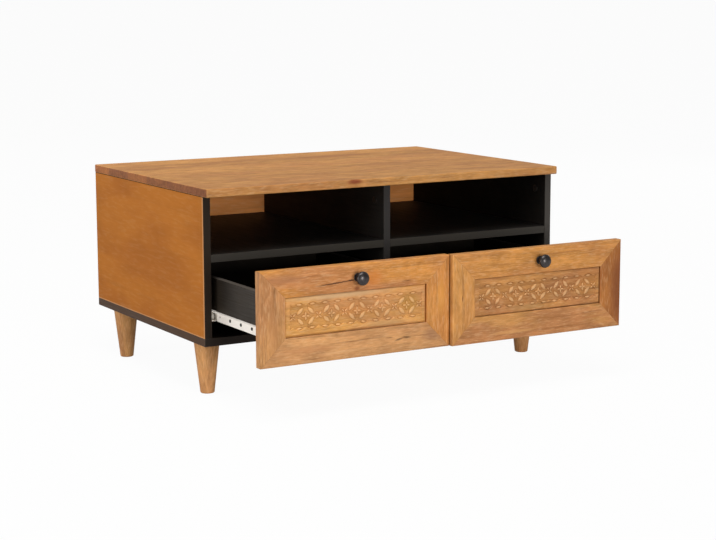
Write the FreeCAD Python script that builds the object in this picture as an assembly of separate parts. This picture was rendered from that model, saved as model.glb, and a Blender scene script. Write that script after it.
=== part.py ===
import FreeCAD, Part
import math
import os

# A coffee table with two drawers: a solid wood top on a panel carcass, two open bays above two drawers
# on roller runners, and four turned legs. All lengths are millimetres. +X is to the right of a person
# who faces the drawers, +Y is to the back and +Z is up. The origin is on the floor, under the middle of
# the top. Both drawers are modelled pulled out by their rest pulls.

# Overall sizes
TOP_LENGTH = 800.0
TOP_DEPTH = 540.0
TABLE_HEIGHT = 400.0

# Table top
TOP_THICKNESS = 16.0
TOP_EDGE_ROUND = 2.0

# Carcass
PANEL_THICKNESS = 15.0
BACK_THICKNESS = 12.0
PANEL_EASE = 0.5
SIDE_INSET = 1.0
DRAWER_BAY_HEIGHT = 144.0

# Turned legs and their bolts
LEG_LENGTH = 101.0
LEG_TOP_RADIUS = 25.0
LEG_FOOT_RADIUS = 13.5
LEG_FOOT_ROUND = 2.5
LEG_SIDE_INSET = 30.0
LEG_END_INSET = 75.0
LEG_BOLT_RADIUS = 4.0
LEG_BOLT_DEPTH = 42.0
LEG_BOLT_REACH = 12.0

# Drawer fronts: a mitred frame round a panel
FRONT_THICKNESS = 18.0
CLOSING_GAP = 1.0
FRONT_SIDE_REVEAL = 0.5
FRONT_TOP_REVEAL = 1.0
FRONT_GAP = 2.5
FRAME_WIDTH = 50.0
FRONT_EDGE_ROUND = 2.2
FRONT_BACK_EASE = 0.6
FRAME_INNER_ROUND = 1.0
FRAME_GROOVE_DEPTH = 8.0
FRAME_GROOVE_WIDTH = 7.0
FRAME_GROOVE_BACK = 4.0
TONGUE_PLAY = 0.15
TONGUE_FLOAT = 1.0
FIELD_GAP = 2.0
FIELD_RECESS = 1.5
FIELD_EDGE_ROUND = 1.2

# Drawer boxes
SIDE_GAP = 12.5
BOX_BOARD = 12.0
BOX_HEIGHT = 80.0
BOX_RISE = 32.0
BOX_BOTTOM_THICKNESS = 4.0
BOX_BOTTOM_RISE = 14.0
BOX_GROOVE_DEPTH = 5.0
BOX_GROOVE_PLAY = 0.2
BOX_BOTTOM_FLOAT = 0.5
LEFT_REST_PULL = 206.0
RIGHT_REST_PULL = 214.0

# Roller runners, folded from sheet
SHEET = 1.0
BEND_RADIUS = 0.5
SLIDE_RISE = 18.0
FLANGE_WALL_GAP = 3.5
FLANGE_GAP = 0.8
RUNNER_WEB_GAP = 2.0
RUNNER_SETBACK = 2.0
RUNNER_BACK_ROOM = 57.0
ROLLER_RADIUS = 7.5
ROLLER_WIDTH = 6.0
ROLLER_RIM = 1.6
ROLLER_DISH = 1.0
ROLLER_INSET = 12.0
ROLLER_RUN_GAP = 0.3
ROLLER_BORE_PLAY = 0.05
ROLLER_END_PLAY = 0.3
RIVET_RADIUS = 2.5
RIVET_COLLAR_RADIUS = 4.0
RIVET_COLLAR = 0.4
RIVET_HEAD = 0.8
STOP_REACH = 6.0
STOP_HEIGHT = 10.0
SCREW_HOLE_RADIUS = 2.0
SLIDE_FIRST_HOLE = 65.0
SLIDE_HOLE_PITCH = 44.0
SLIDE_HOLES = 7

# Shares of the runner's length: its screw holes, and how far a drawer comes out
RUNNER_HOLE_SHARES = (0.12, 0.5, 0.88)
TRAVEL_SHARE = 2 / 3

# Knobs and their screws
KNOB_LENGTH = 26.0
KNOB_BASE_RADIUS = 8.0
KNOB_BASE = 2.5
KNOB_NECK_RADIUS = 5.5
KNOB_HEAD_RADIUS = 13.0
KNOB_HEAD = 10.0
KNOB_CROWN_ROUND = 6.5
KNOB_RIM_ROUND = 2.0
KNOB_NECK_ROUND = 3.0
KNOB_SCREW_RADIUS = 2.0
KNOB_SCREW_HEAD_RADIUS = 4.0
KNOB_SCREW_HEAD = 2.4
KNOB_SCREW_REACH = 7.0

# Room round a bolt or screw in its hole, and how far a cutter runs past the face that it cuts
HOLE_PLAY = 0.15
HOLE_END_PLAY = 0.5
OVERRUN = 2.0

X_AXIS = FreeCAD.Vector(1, 0, 0)
Y_AXIS = FreeCAD.Vector(0, 1, 0)
Z_AXIS = FreeCAD.Vector(0, 0, 1)
FULL_TURN = 360

# Levels and planes that the pieces share
top_front = -TOP_DEPTH / 2
carcass_right = TOP_LENGTH / 2 - SIDE_INSET
carcass_left = -carcass_right
carcass_front = top_front + FRONT_THICKNESS + CLOSING_GAP
carcass_back = TOP_DEPTH / 2
carcass_top = TABLE_HEIGHT - TOP_THICKNESS
base_bottom = LEG_LENGTH
base_top = base_bottom + PANEL_THICKNESS
shelf_bottom = base_top + DRAWER_BAY_HEIGHT
shelf_top = shelf_bottom + PANEL_THICKNESS
inner_left = carcass_left + PANEL_THICKNESS
inner_right = carcass_right - PANEL_THICKNESS
divider_half = PANEL_THICKNESS / 2
back_inner = carcass_back - BACK_THICKNESS
front_bottom = base_bottom
front_top = shelf_top - FRONT_TOP_REVEAL
box_bottom = base_top + BOX_RISE
box_top = box_bottom + BOX_HEIGHT

# Heights inside a pair of runner and slide: the flange of the slide lies on the front roller, and the
# rear roller runs on the lower flange of the runner
flange_top = box_bottom + SLIDE_RISE
flange_bottom = flange_top - SHEET
roller_height = flange_bottom - ROLLER_RUN_GAP - ROLLER_RADIUS
runner_floor = roller_height - ROLLER_RADIUS - ROLLER_RUN_GAP
runner_bottom = runner_floor - SHEET
runner_top = flange_top + FLANGE_GAP + SHEET
runner_front = carcass_front + RUNNER_SETBACK
runner_length = back_inner - RUNNER_BACK_ROOM - runner_front
runner_depth = SIDE_GAP - SHEET - RUNNER_WEB_GAP
slide_flange = SIDE_GAP - FLANGE_WALL_GAP
box_depth = runner_length
drawer_travel = runner_length * TRAVEL_SHARE
front_roller_y = runner_front + ROLLER_INSET
closed_front_back = carcass_front - CLOSING_GAP
rear_roller_reach = box_depth - ROLLER_INSET


def block(x0, x1, y0, y1, z0, z1):
    """A box between two corners."""
    return Part.makeBox(x1 - x0, y1 - y0, z1 - z0, FreeCAD.Vector(x0, y0, z0))


def eased_board(x0, x1, y0, y1, z0, z1):
    """A board with all its edges taken off by the panel ease."""
    board = block(x0, x1, y0, y1, z0, z1)
    return board.makeChamfer(PANEL_EASE, board.Edges).Solids[0]


def rounded_outline(corners):
    """A closed wire through (point, radius) corners, with a tangent arc at each corner that has a radius."""
    bends = []
    for i, (point, radius) in enumerate(corners):
        before = (corners[i - 1][0] - point).normalize()
        after = (corners[(i + 1) % len(corners)][0] - point).normalize()
        half_angle = before.getAngle(after) / 2
        setback = radius / math.tan(half_angle)
        to_centre = (before + after).normalize()
        crest = point + to_centre * (radius / math.sin(half_angle) - radius)
        bends.append((point + before * setback, crest, point + after * setback, radius))
    edges = []
    for i, (entry, crest, leave, radius) in enumerate(bends):
        if radius:
            edges.append(Part.Arc(entry, crest, leave).toShape())
        next_entry = bends[(i + 1) % len(bends)][0]
        edges.append(Part.LineSegment(leave, next_entry).toShape())
    return Part.Wire(edges)


def prism(corners, sweep):
    """A solid swept from a rounded outline."""
    return Part.Face(rounded_outline(corners)).extrude(sweep)


def turned(profile, base, axis):
    """A turned solid. Its profile is (radius, distance along the axis, corner radius) from the base."""
    corners = [(FreeCAD.Vector(r, 0, d), corner) for r, d, corner in profile]
    solid = Part.Face(rounded_outline(corners)).revolve(FreeCAD.Vector(), Z_AXIS, FULL_TURN)
    solid.Placement = FreeCAD.Placement(base, FreeCAD.Rotation(Z_AXIS, axis))
    return solid


def pin(radius, length, base, axis):
    """A round pin from its base along the axis."""
    return Part.makeCylinder(radius, length, base, axis)


def export(name, solid):
    """Write one node."""
    solid.exportStep("parts/" + name + ".step")


def leg_places():
    """The leg names and the centres of the leg tops, under the base."""
    leg_x = carcass_right - LEG_SIDE_INSET
    leg_y = carcass_back - LEG_END_INSET
    for row, y in (("front", -leg_y), ("back", leg_y)):
        for hand, x in (("left", -leg_x), ("right", leg_x)):
            yield row + "_" + hand + "_leg", FreeCAD.Vector(x, y, base_bottom)


def runner_walls():
    """Each bay wall that carries a runner: name, wall plane and direction into the bay."""
    yield "left_bay_left", inner_left, X_AXIS
    yield "left_bay_right", -divider_half, -X_AXIS
    yield "right_bay_left", divider_half, X_AXIS
    yield "right_bay_right", inner_right, -X_AXIS


def build_carcass():
    """The top and the panels under it."""
    top_half = TOP_LENGTH / 2
    top = block(-top_half, top_half, top_front, carcass_back, carcass_top, TABLE_HEIGHT)
    export("table_top", top.makeFillet(TOP_EDGE_ROUND, top.Edges).Solids[0])
    depth = (carcass_front, carcass_back)
    inner_depth = (carcass_front, back_inner)
    height = (base_top, carcass_top)
    shelf = (shelf_bottom, shelf_top)
    export("left_side_panel", eased_board(carcass_left, inner_left, *depth, *height))
    export("right_side_panel", eased_board(inner_right, carcass_right, *depth, *height))
    export("centre_divider", eased_board(-divider_half, divider_half, *inner_depth, *height))
    export("back_panel", eased_board(inner_left, inner_right, back_inner, carcass_back, *height))
    export("left_shelf", eased_board(inner_left, -divider_half, *inner_depth, *shelf))
    export("right_shelf", eased_board(divider_half, inner_right, *inner_depth, *shelf))
    base = eased_board(carcass_left, carcass_right, *depth, base_bottom, base_top)
    export("bottom_panel", base.cut([bolt_hole(place) for _, place in leg_places()]))


def bolt_hole(place):
    """The hole for a leg's bolt, from the leg up into the base."""
    length = LEG_BOLT_DEPTH + LEG_BOLT_REACH + HOLE_END_PLAY
    return pin(LEG_BOLT_RADIUS + HOLE_PLAY, length, place - Z_AXIS * LEG_BOLT_DEPTH, Z_AXIS)


def build_legs():
    """Four tapered legs, each on a bolt that screws into the base."""
    profile = [
        (0, 0, 0),
        (LEG_FOOT_RADIUS, 0, LEG_FOOT_ROUND),
        (LEG_TOP_RADIUS, LEG_LENGTH, 0),
        (0, LEG_LENGTH, 0),
    ]
    for name, place in leg_places():
        leg = turned(profile, place - Z_AXIS * LEG_LENGTH, Z_AXIS)
        bolt_foot = place - Z_AXIS * LEG_BOLT_DEPTH
        export(name, leg.cut(bolt_hole(place)))
        export(name + "_bolt", pin(LEG_BOLT_RADIUS, LEG_BOLT_DEPTH + LEG_BOLT_REACH, bolt_foot, Z_AXIS))


def rivet(web, axis):
    """The rivet that a roller turns on, from the outer face of a sheet web along the axis."""
    collar_end = SHEET + RIVET_COLLAR
    head_start = collar_end + ROLLER_WIDTH + ROLLER_END_PLAY
    head_end = head_start + RIVET_HEAD
    profile = [
        (0, 0, 0),
        (RIVET_COLLAR_RADIUS, 0, 0),
        (RIVET_COLLAR_RADIUS, collar_end, 0),
        (RIVET_RADIUS, collar_end, 0),
        (RIVET_RADIUS, head_start, 0),
        (RIVET_COLLAR_RADIUS, head_start, 0),
        (RIVET_COLLAR_RADIUS, head_end, 0),
        (0, head_end, 0),
    ]
    return turned(profile, web, axis)


def roller(web, axis):
    """A roller with a dished outer face, on the rivet that stands on the same web."""
    bore = RIVET_RADIUS + ROLLER_BORE_PLAY
    hub = RIVET_COLLAR_RADIUS
    rim = ROLLER_RADIUS - ROLLER_RIM
    start = SHEET + RIVET_COLLAR + ROLLER_END_PLAY / 2
    end = start + ROLLER_WIDTH
    profile = [
        (bore, start, 0),
        (ROLLER_RADIUS, start, 0),
        (ROLLER_RADIUS, end, 0),
        (rim, end, 0),
        (rim, end - ROLLER_DISH, 0),
        (hub, end - ROLLER_DISH, 0),
        (hub, end, 0),
        (bore, end, 0),
    ]
    return turned(profile, web, axis)


def runner_stop(wall, inward, y):
    """A tab lanced from the runner's web, in the way of the rear roller."""
    low = FreeCAD.Vector(wall, y, roller_height - STOP_HEIGHT / 2)
    corners = [
        (low, 0),
        (low + inward * (SHEET + STOP_REACH), 0),
        (low + inward * (SHEET + STOP_REACH) + Z_AXIS * STOP_HEIGHT, BEND_RADIUS),
        (low + Z_AXIS * STOP_HEIGHT, 0),
    ]
    return prism(corners, Y_AXIS * SHEET)


def carcass_runner(wall, inward):
    """A folded channel on a bay wall, with its front rivet, its two stops and its screw holes."""
    height = runner_top - runner_bottom
    outer_bend = BEND_RADIUS + SHEET
    section = [
        (0, 0, outer_bend),
        (runner_depth, 0, 0),
        (runner_depth, SHEET, 0),
        (SHEET, SHEET, BEND_RADIUS),
        (SHEET, height - SHEET, BEND_RADIUS),
        (runner_depth, height - SHEET, 0),
        (runner_depth, height, 0),
        (0, height, outer_bend),
    ]
    corner = FreeCAD.Vector(wall, runner_front, runner_bottom)
    corners = [(corner + inward * w + Z_AXIS * h, radius) for w, h, radius in section]
    channel = prism(corners, Y_AXIS * runner_length)
    closed_roller = closed_front_back + rear_roller_reach
    roller_room = ROLLER_RADIUS + ROLLER_RUN_GAP
    pieces = [
        rivet(FreeCAD.Vector(wall, front_roller_y, roller_height), inward),
        runner_stop(wall, inward, closed_roller - drawer_travel - roller_room - SHEET),
        runner_stop(wall, inward, closed_roller + roller_room),
    ]
    holes = []
    for share in RUNNER_HOLE_SHARES:
        web = FreeCAD.Vector(wall, runner_front + runner_length * share, roller_height)
        holes.append(pin(SCREW_HOLE_RADIUS, SHEET + OVERRUN, web, inward))
    return channel.fuse(pieces).removeSplitter().cut(holes)


def build_runners():
    """The four carcass runners and their front rollers."""
    for name, wall, inward in runner_walls():
        export(name + "_runner", carcass_runner(wall, inward))
        export(name + "_front_roller", roller(FreeCAD.Vector(wall, front_roller_y, roller_height), inward))


def frame_member(start, run, across, length):
    """One mitred member of a drawer front. Its outer back edge starts at start and goes along run, its
    width goes across towards the panel, and its thickness goes forward."""
    outward = -Y_AXIS
    groove_floor = FRAME_WIDTH - FRAME_GROOVE_DEPTH
    groove_front = FRAME_GROOVE_BACK + FRAME_GROOVE_WIDTH
    section = [
        (0, 0, FRONT_BACK_EASE),
        (0, FRONT_THICKNESS, FRONT_EDGE_ROUND),
        (FRAME_WIDTH, FRONT_THICKNESS, FRAME_INNER_ROUND),
        (FRAME_WIDTH, groove_front, 0),
        (groove_floor, groove_front, 0),
        (groove_floor, FRAME_GROOVE_BACK, 0),
        (FRAME_WIDTH, FRAME_GROOVE_BACK, 0),
        (FRAME_WIDTH, 0, 0),
    ]
    corners = [(start + across * w + outward * t, radius) for w, t, radius in section]
    member = prism(corners, run * length)
    reach = FRAME_WIDTH + OVERRUN
    cutters = []
    for end, inwards in ((start, run), (start + run * length, -run)):
        tip = end - outward * OVERRUN
        wedge = [
            (tip - inwards * OVERRUN - across * OVERRUN, 0),
            (tip + inwards * reach + across * reach, 0),
            (tip - inwards * OVERRUN + across * reach, 0),
        ]
        cutters.append(prism(wedge, outward * (FRONT_THICKNESS + OVERRUN + OVERRUN)))
    return member.cut(cutters)


def carved_panel(left, right, back):
    """The panel in the frame: a tongue all round in the frame's grooves, and a raised field in front."""
    reach = FRAME_GROOVE_DEPTH - TONGUE_FLOAT
    x0, x1 = left + FRAME_WIDTH, right - FRAME_WIDTH
    z0, z1 = front_bottom + FRAME_WIDTH, front_top - FRAME_WIDTH
    tongue_back = back - FRAME_GROOVE_BACK - TONGUE_PLAY
    tongue_front = back - FRAME_GROOVE_BACK - FRAME_GROOVE_WIDTH + TONGUE_PLAY
    face = back - FRONT_THICKNESS + FIELD_RECESS
    tongue = block(x0 - reach, x1 + reach, tongue_front, tongue_back, z0 - reach, z1 + reach)
    field = block(x0 + FIELD_GAP, x1 - FIELD_GAP, face, tongue_front, z0 + FIELD_GAP, z1 - FIELD_GAP)
    field_face = min(field.Faces, key=lambda side: side.CenterOfMass.y)
    field = field.makeFillet(FIELD_EDGE_ROUND, field_face.Edges).Solids[0]
    return tongue.fuse(field).removeSplitter()


def knob(seat):
    """A turned knob: base, waisted neck and rounded head, with a bore for its screw."""
    under_head = KNOB_LENGTH - KNOB_HEAD
    bore = KNOB_SCREW_RADIUS + HOLE_PLAY
    bore_end = KNOB_SCREW_REACH + HOLE_END_PLAY
    profile = [
        (bore, 0, 0),
        (KNOB_BASE_RADIUS, 0, 0),
        (KNOB_BASE_RADIUS, KNOB_BASE, 0),
        (KNOB_NECK_RADIUS, KNOB_BASE, 0),
        (KNOB_NECK_RADIUS, under_head, KNOB_NECK_ROUND),
        (KNOB_HEAD_RADIUS, under_head, KNOB_RIM_ROUND),
        (KNOB_HEAD_RADIUS, KNOB_LENGTH, KNOB_CROWN_ROUND),
        (0, KNOB_LENGTH, 0),
        (0, bore_end, 0),
        (bore, bore_end, 0),
    ]
    return turned(profile, seat, -Y_AXIS)


def knob_screw(seat):
    """The screw through the top rail into the knob, with its head on the back of the rail."""
    shank = pin(KNOB_SCREW_RADIUS, FRONT_THICKNESS + KNOB_SCREW_REACH, seat, -Y_AXIS)
    return shank.fuse(pin(KNOB_SCREW_HEAD_RADIUS, KNOB_SCREW_HEAD, seat, Y_AXIS))


def drawer_slide(side_face, outward, back):
    """A folded slide: a web on the drawer side, a flange under it, a flange out over the front roller,
    a row of screw holes, and the rivet of the rear roller."""
    outer_bend = BEND_RADIUS + SHEET
    section = [
        (-BOX_BOARD, -SHEET, 0),
        (SHEET, -SHEET, outer_bend),
        (SHEET, SLIDE_RISE - SHEET, BEND_RADIUS),
        (slide_flange, SLIDE_RISE - SHEET, 0),
        (slide_flange, SLIDE_RISE, 0),
        (0, SLIDE_RISE, outer_bend),
        (0, 0, BEND_RADIUS),
        (-BOX_BOARD, 0, 0),
    ]
    corner = FreeCAD.Vector(side_face, back, box_bottom)
    corners = [(corner + outward * w + Z_AXIS * h, radius) for w, h, radius in section]
    profile = prism(corners, Y_AXIS * box_depth)
    holes = []
    for i in range(SLIDE_HOLES):
        web = corner + Y_AXIS * (SLIDE_FIRST_HOLE + i * SLIDE_HOLE_PITCH)
        web.z = roller_height
        holes.append(pin(SCREW_HOLE_RADIUS, SHEET + OVERRUN, web, outward))
    axle = rivet(FreeCAD.Vector(side_face, back + rear_roller_reach, roller_height), outward)
    return profile.fuse(axle).removeSplitter().cut(holes)


def build_drawer_front(name, left, right, back):
    """The four mitred members and the carved panel of a drawer front, its knob and the knob's screw."""
    width = right - left
    height = front_top - front_bottom
    knob_x = (left + right) / 2
    knob_z = front_top - FRAME_WIDTH / 2
    screw_seat = FreeCAD.Vector(knob_x, back, knob_z)
    face_seat = screw_seat - Y_AXIS * FRONT_THICKNESS
    screw_hole = pin(KNOB_SCREW_RADIUS + HOLE_PLAY, FRONT_THICKNESS + OVERRUN + OVERRUN,
                     screw_seat + Y_AXIS * OVERRUN, -Y_AXIS)
    low_left = FreeCAD.Vector(left, back, front_bottom)
    low_right = FreeCAD.Vector(right, back, front_bottom)
    high_left = FreeCAD.Vector(left, back, front_top)
    export(name + "_bottom_rail", frame_member(low_left, X_AXIS, Z_AXIS, width))
    export(name + "_top_rail", frame_member(high_left, X_AXIS, -Z_AXIS, width).cut(screw_hole))
    export(name + "_left_stile", frame_member(low_left, Z_AXIS, X_AXIS, height))
    export(name + "_right_stile", frame_member(low_right, Z_AXIS, -X_AXIS, height))
    export(name + "_carved_panel", carved_panel(left, right, back))
    export(name + "_knob", knob(face_seat))
    export(name + "_knob_screw", knob_screw(screw_seat))


def build_drawer_box(name, left, right, back):
    """The four boards and the bottom of a drawer box, behind its front."""
    rear = back + box_depth
    inner_x0, inner_x1 = left + BOX_BOARD, right - BOX_BOARD
    inner_y0, inner_y1 = back + BOX_BOARD, rear - BOX_BOARD
    floor = box_bottom + BOX_BOTTOM_RISE
    ceiling = floor + BOX_BOTTOM_THICKNESS
    groove_top = ceiling + BOX_GROOVE_PLAY
    groove_x = (inner_x0 - BOX_GROOVE_DEPTH, inner_x1 + BOX_GROOVE_DEPTH)
    groove_y = (inner_y0 - BOX_GROOVE_DEPTH, inner_y1 + BOX_GROOVE_DEPTH)
    groove = block(*groove_x, *groove_y, floor, groove_top)
    height = (box_bottom, box_top)
    export(name + "_box_left_side", eased_board(left, inner_x0, back, rear, *height).cut(groove))
    export(name + "_box_right_side", eased_board(inner_x1, right, back, rear, *height).cut(groove))
    export(name + "_box_inner_front", eased_board(inner_x0, inner_x1, back, inner_y0, *height).cut(groove))
    export(name + "_box_back", eased_board(inner_x0, inner_x1, inner_y1, rear, *height).cut(groove))
    reach = BOX_GROOVE_DEPTH - BOX_BOTTOM_FLOAT
    bottom = block(inner_x0 - reach, inner_x1 + reach, inner_y0 - reach, inner_y1 + reach, floor, ceiling)
    export(name + "_box_bottom", bottom)


def build_drawer(name, bay_left, bay_right, front_left, front_right, pull):
    """One drawer at its rest pull: front, box, slides and rear rollers."""
    back = closed_front_back - pull
    left, right = bay_left + SIDE_GAP, bay_right - SIDE_GAP
    build_drawer_front(name, front_left, front_right, back)
    build_drawer_box(name, left, right, back)
    for hand, side_face, outward in (("left", left, -X_AXIS), ("right", right, X_AXIS)):
        axle = FreeCAD.Vector(side_face, back + rear_roller_reach, roller_height)
        export(name + "_" + hand + "_slide", drawer_slide(side_face, outward, back))
        export(name + "_" + hand + "_rear_roller", roller(axle, outward))


os.makedirs("parts", exist_ok=True)
build_carcass()
build_legs()
build_runners()
front_half_gap = FRONT_GAP / 2
front_end = carcass_right - FRONT_SIDE_REVEAL
build_drawer("left_drawer", inner_left, -divider_half, -front_end, -front_half_gap, LEFT_REST_PULL)
build_drawer("right_drawer", divider_half, inner_right, front_half_gap, front_end, RIGHT_REST_PULL)
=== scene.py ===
# %% [markdown]
# # A coffee table with two carved drawers
#
# The real table has a honey-brown wooden top and drawer fronts on a carcass of black boards, with brown
# outer sides, turned legs and dark knobs. The construction comes from a finished CAD model, which is
# loaded first and never moved. This lesson gives every board its finish, carves the two drawer panels, adds
# the small screws and cam locks, and sets up a plain studio. What each material is was read from its looks.

# %% Load the frame
import math
import random
import bpy
import numpy as np
from mathutils import Euler, Matrix, Vector


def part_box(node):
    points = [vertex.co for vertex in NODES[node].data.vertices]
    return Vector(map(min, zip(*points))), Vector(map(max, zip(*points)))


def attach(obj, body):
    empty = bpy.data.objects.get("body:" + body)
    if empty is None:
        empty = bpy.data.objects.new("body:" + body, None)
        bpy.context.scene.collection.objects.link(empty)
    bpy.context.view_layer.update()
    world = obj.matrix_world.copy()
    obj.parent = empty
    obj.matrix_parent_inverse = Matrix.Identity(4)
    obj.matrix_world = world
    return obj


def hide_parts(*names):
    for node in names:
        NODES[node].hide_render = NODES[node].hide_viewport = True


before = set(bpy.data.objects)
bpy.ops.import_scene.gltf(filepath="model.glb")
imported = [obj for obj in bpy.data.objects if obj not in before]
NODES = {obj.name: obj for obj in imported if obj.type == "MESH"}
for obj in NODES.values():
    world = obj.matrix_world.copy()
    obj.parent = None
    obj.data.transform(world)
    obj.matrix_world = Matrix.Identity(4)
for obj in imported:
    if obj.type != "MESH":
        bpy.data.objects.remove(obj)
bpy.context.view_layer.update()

MM = 0.001

# %% [markdown]
# ## Tools for finishes
#
# Colours are given as sRGB hex codes, but shaders work in linear light, so one function converts them. Shader
# graphs can be built by hand in the editor. In a script the same graph is a list of nodes, so one small
# function adds a node, sets its properties, and links or sets its inputs.

# %% Colours and nodes
def linear(code):
    """An sRGB hex colour as linear red, green, blue and alpha."""
    channels = [int(code[i:i + 2], 16) / 255 for i in (1, 3, 5)]
    return [c / 12.92 if c <= 0.04045 else ((c + 0.055) / 1.055) ** 2.4 for c in channels] + [1.0]


def add(tree, kind, inputs=None, **settings):
    """Add a node. Its inputs are values, other nodes or their sockets, by name or number."""
    made = tree.nodes.new("ShaderNode" + kind)
    for name, value in settings.items():
        setattr(made, name, value)
    for key, value in (inputs or {}).items():
        named = [s for s in made.inputs if s.enabled and s.name == key]
        socket = named[0] if named else made.inputs[key]
        if isinstance(value, bpy.types.Node):
            value = next(s for s in value.outputs if s.enabled)
        if isinstance(value, bpy.types.NodeSocket):
            tree.links.new(value, socket)
        else:
            socket.default_value = value
    return made


def start_finish(name):
    """A new material with an empty node tree."""
    material = bpy.data.materials.new(name)
    material.use_nodes = True
    material.node_tree.nodes.clear()
    return material, material.node_tree


def dress(node_name, material):
    """Give a CAD node its finish, in the slots that it already has."""
    piece = NODES[node_name]
    if not piece.material_slots:
        piece.data.materials.append(material)
    for slot in piece.material_slots:
        slot.material = material


print("honey brown in linear light:", [round(c, 3) for c in linear("#c68a50")])

# %% [markdown]
# ## The grain of mango wood
#
# The wood is taken to be mango, a soft-figured hardwood: blotches and streaks of brown and dull red run
# along the board, rings show as faint arches, and open pores lie in it as short dark dashes. The figure
# could be painted on each face, but a board is cut from a solid, so a solid pattern is better: faces, edges
# and ends then agree. Every pattern is stretched along the grain, and sized in mm along and across.

# %% The figure of the wood
WARP_SIZE = (260, 75, 75)
WARP_REACH = 16
WARP_DETAIL = 2
NOISE_MIDDLE = (0.5, 0.5, 0.5)
RING_SPACING = 10.5
RING_STRETCH = 0.07
RING_WAVER = 5
RING_DETAIL = 3
RING_DETAIL_SCALE = 1.4
# The wave texture repeats after this distance at a scale of 1.
WAVE_PERIOD = math.tau / 20
# Size along and across in mm, detail, and roughness of each noise. Real fibres and pores are about 0.2 mm
# wide, and both are drawn coarser, or they would not show.
GRAIN_PARTS = {
    "blotches": ((40, 18, 18), 5, 0.6),
    "streaks": ((130, 5, 5), 4, 0.5),
    "patches": ((150, 45, 45), 3, 0.5),
    "fibres": ((30, 1.2, 1.2), 3, 0.5),
    "flecks": ((15, 2.2, 2.2), 3, 0.5),
    "dashes": ((9, 0.7, 0.7), 1, 0.5),
}
PORE_START = 0.64
PORE_FULL = 0.74
STREAK_SHARE = 0.28
RING_SHARE = 0.1
FIBRE_SHARE = 0.18


def figure(tree, place):
    """The grain at a place in mm, with X along the board. Each part of it runs from 0 to 1."""
    scaled = add(tree, "VectorMath", {0: place, 1: WARP_SIZE}, operation="DIVIDE")
    swell = add(tree, "TexNoise", {"Vector": scaled, "Scale": 1, "Detail": WARP_DETAIL})
    centred = add(tree, "VectorMath", {0: swell.outputs["Color"], 1: NOISE_MIDDLE}, operation="SUBTRACT")
    bent = add(tree, "VectorMath", {0: centred, 1: (WARP_REACH,) * 3, 2: place}, operation="MULTIPLY_ADD")
    grain = {}
    for part, (size, detail, roughness) in GRAIN_PARTS.items():
        scaled = add(tree, "VectorMath", {0: bent, 1: size}, operation="DIVIDE")
        grain[part] = add(tree, "TexNoise", {"Vector": scaled, "Scale": 1, "Detail": detail,
                                             "Roughness": roughness})
    long_bent = add(tree, "VectorMath", {0: bent, 1: (RING_STRETCH, 1, 1)}, operation="MULTIPLY")
    rings = add(tree, "TexWave", {"Vector": long_bent, "Scale": WAVE_PERIOD / RING_SPACING,
                                  "Distortion": RING_WAVER, "Detail": RING_DETAIL,
                                  "Detail Scale": RING_DETAIL_SCALE},
                wave_type="RINGS", rings_direction="X", wave_profile="SAW")
    grain["pores"] = add(tree, "MapRange", {"Value": grain["dashes"], "From Min": PORE_START,
                                            "From Max": PORE_FULL})
    broad = add(tree, "Mix", {"Factor": STREAK_SHARE, "A": grain["blotches"], "B": grain["streaks"]})
    ringed = add(tree, "Mix", {"Factor": RING_SHARE, "A": broad, "B": rings.outputs["Fac"]})
    grain["tone"] = add(tree, "Mix", {"Factor": FIBRE_SHARE, "A": ringed, "B": grain["fibres"]})
    return grain


print("noises in the grain:", list(GRAIN_PARTS), "ring spacing:", RING_SPACING, "mm")

# %% [markdown]
# ## A board of mango wood
#
# A board's colour starts golden, turns reddish in patches, follows the tone of the grain, and takes veins,
# flecks and pores on top. The same colour could be kept for all boards, but no two boards of one tree look
# alike. So each board names its own three shades, and a seed that moves it to another place in the log.

# %% Place and colour of a board
TO_GRAIN = {"X": (0, 0, 0), "Y": (0, 0, math.radians(-90)), "Z": (0, math.radians(90), 0)}
LOG_LENGTH = 4000
# How far the heart of the log lies from the middle of a board, in the two directions across the grain.
HEART_ASIDE = (45, 110)
HEART_LEVEL = (-35, 35)
PALE_FLECK = "#d9b184"
FLUSH_START = 0.4
FLUSH_FULL = 0.62
TONE_LOW = 0.38
TONE_HIGH = 0.62
TONE_DARK = 0.24
TONE_PALE = 0.2
# What lies over the tone: a part of the grain, where it starts, where it is full, its share, its colour.
LAYERS = (
    ("streaks", 0.40, 0.28, 0.55, "vein"),
    ("flecks", 0.50, 0.70, 0.32, "pale"),
    ("flecks", 0.48, 0.30, 0.20, "vein"),
    ("pores", 0.0, 1.0, 0.40, "vein"),
)


def corners(node_name):
    """The lowest and highest corners of a CAD node, in mm."""
    return [Vector(corner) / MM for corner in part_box(node_name)]


def board_place(tree, node_name, along, seed):
    """Coordinates in mm with X along the grain, and the heart of the log some way off the board."""
    low, high = corners(node_name)
    middle = Euler(TO_GRAIN[along]).to_matrix() @ ((low + high) / 2)
    log = random.Random(seed)
    heart = Vector((log.uniform(-LOG_LENGTH, LOG_LENGTH), log.uniform(*HEART_ASIDE),
                    log.uniform(*HEART_LEVEL)))
    coords = add(tree, "TexCoord")
    return add(tree, "Mapping", {"Vector": coords.outputs["Object"], "Location": heart - middle,
                                 "Rotation": TO_GRAIN[along], "Scale": (1 / MM,) * 3})


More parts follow.
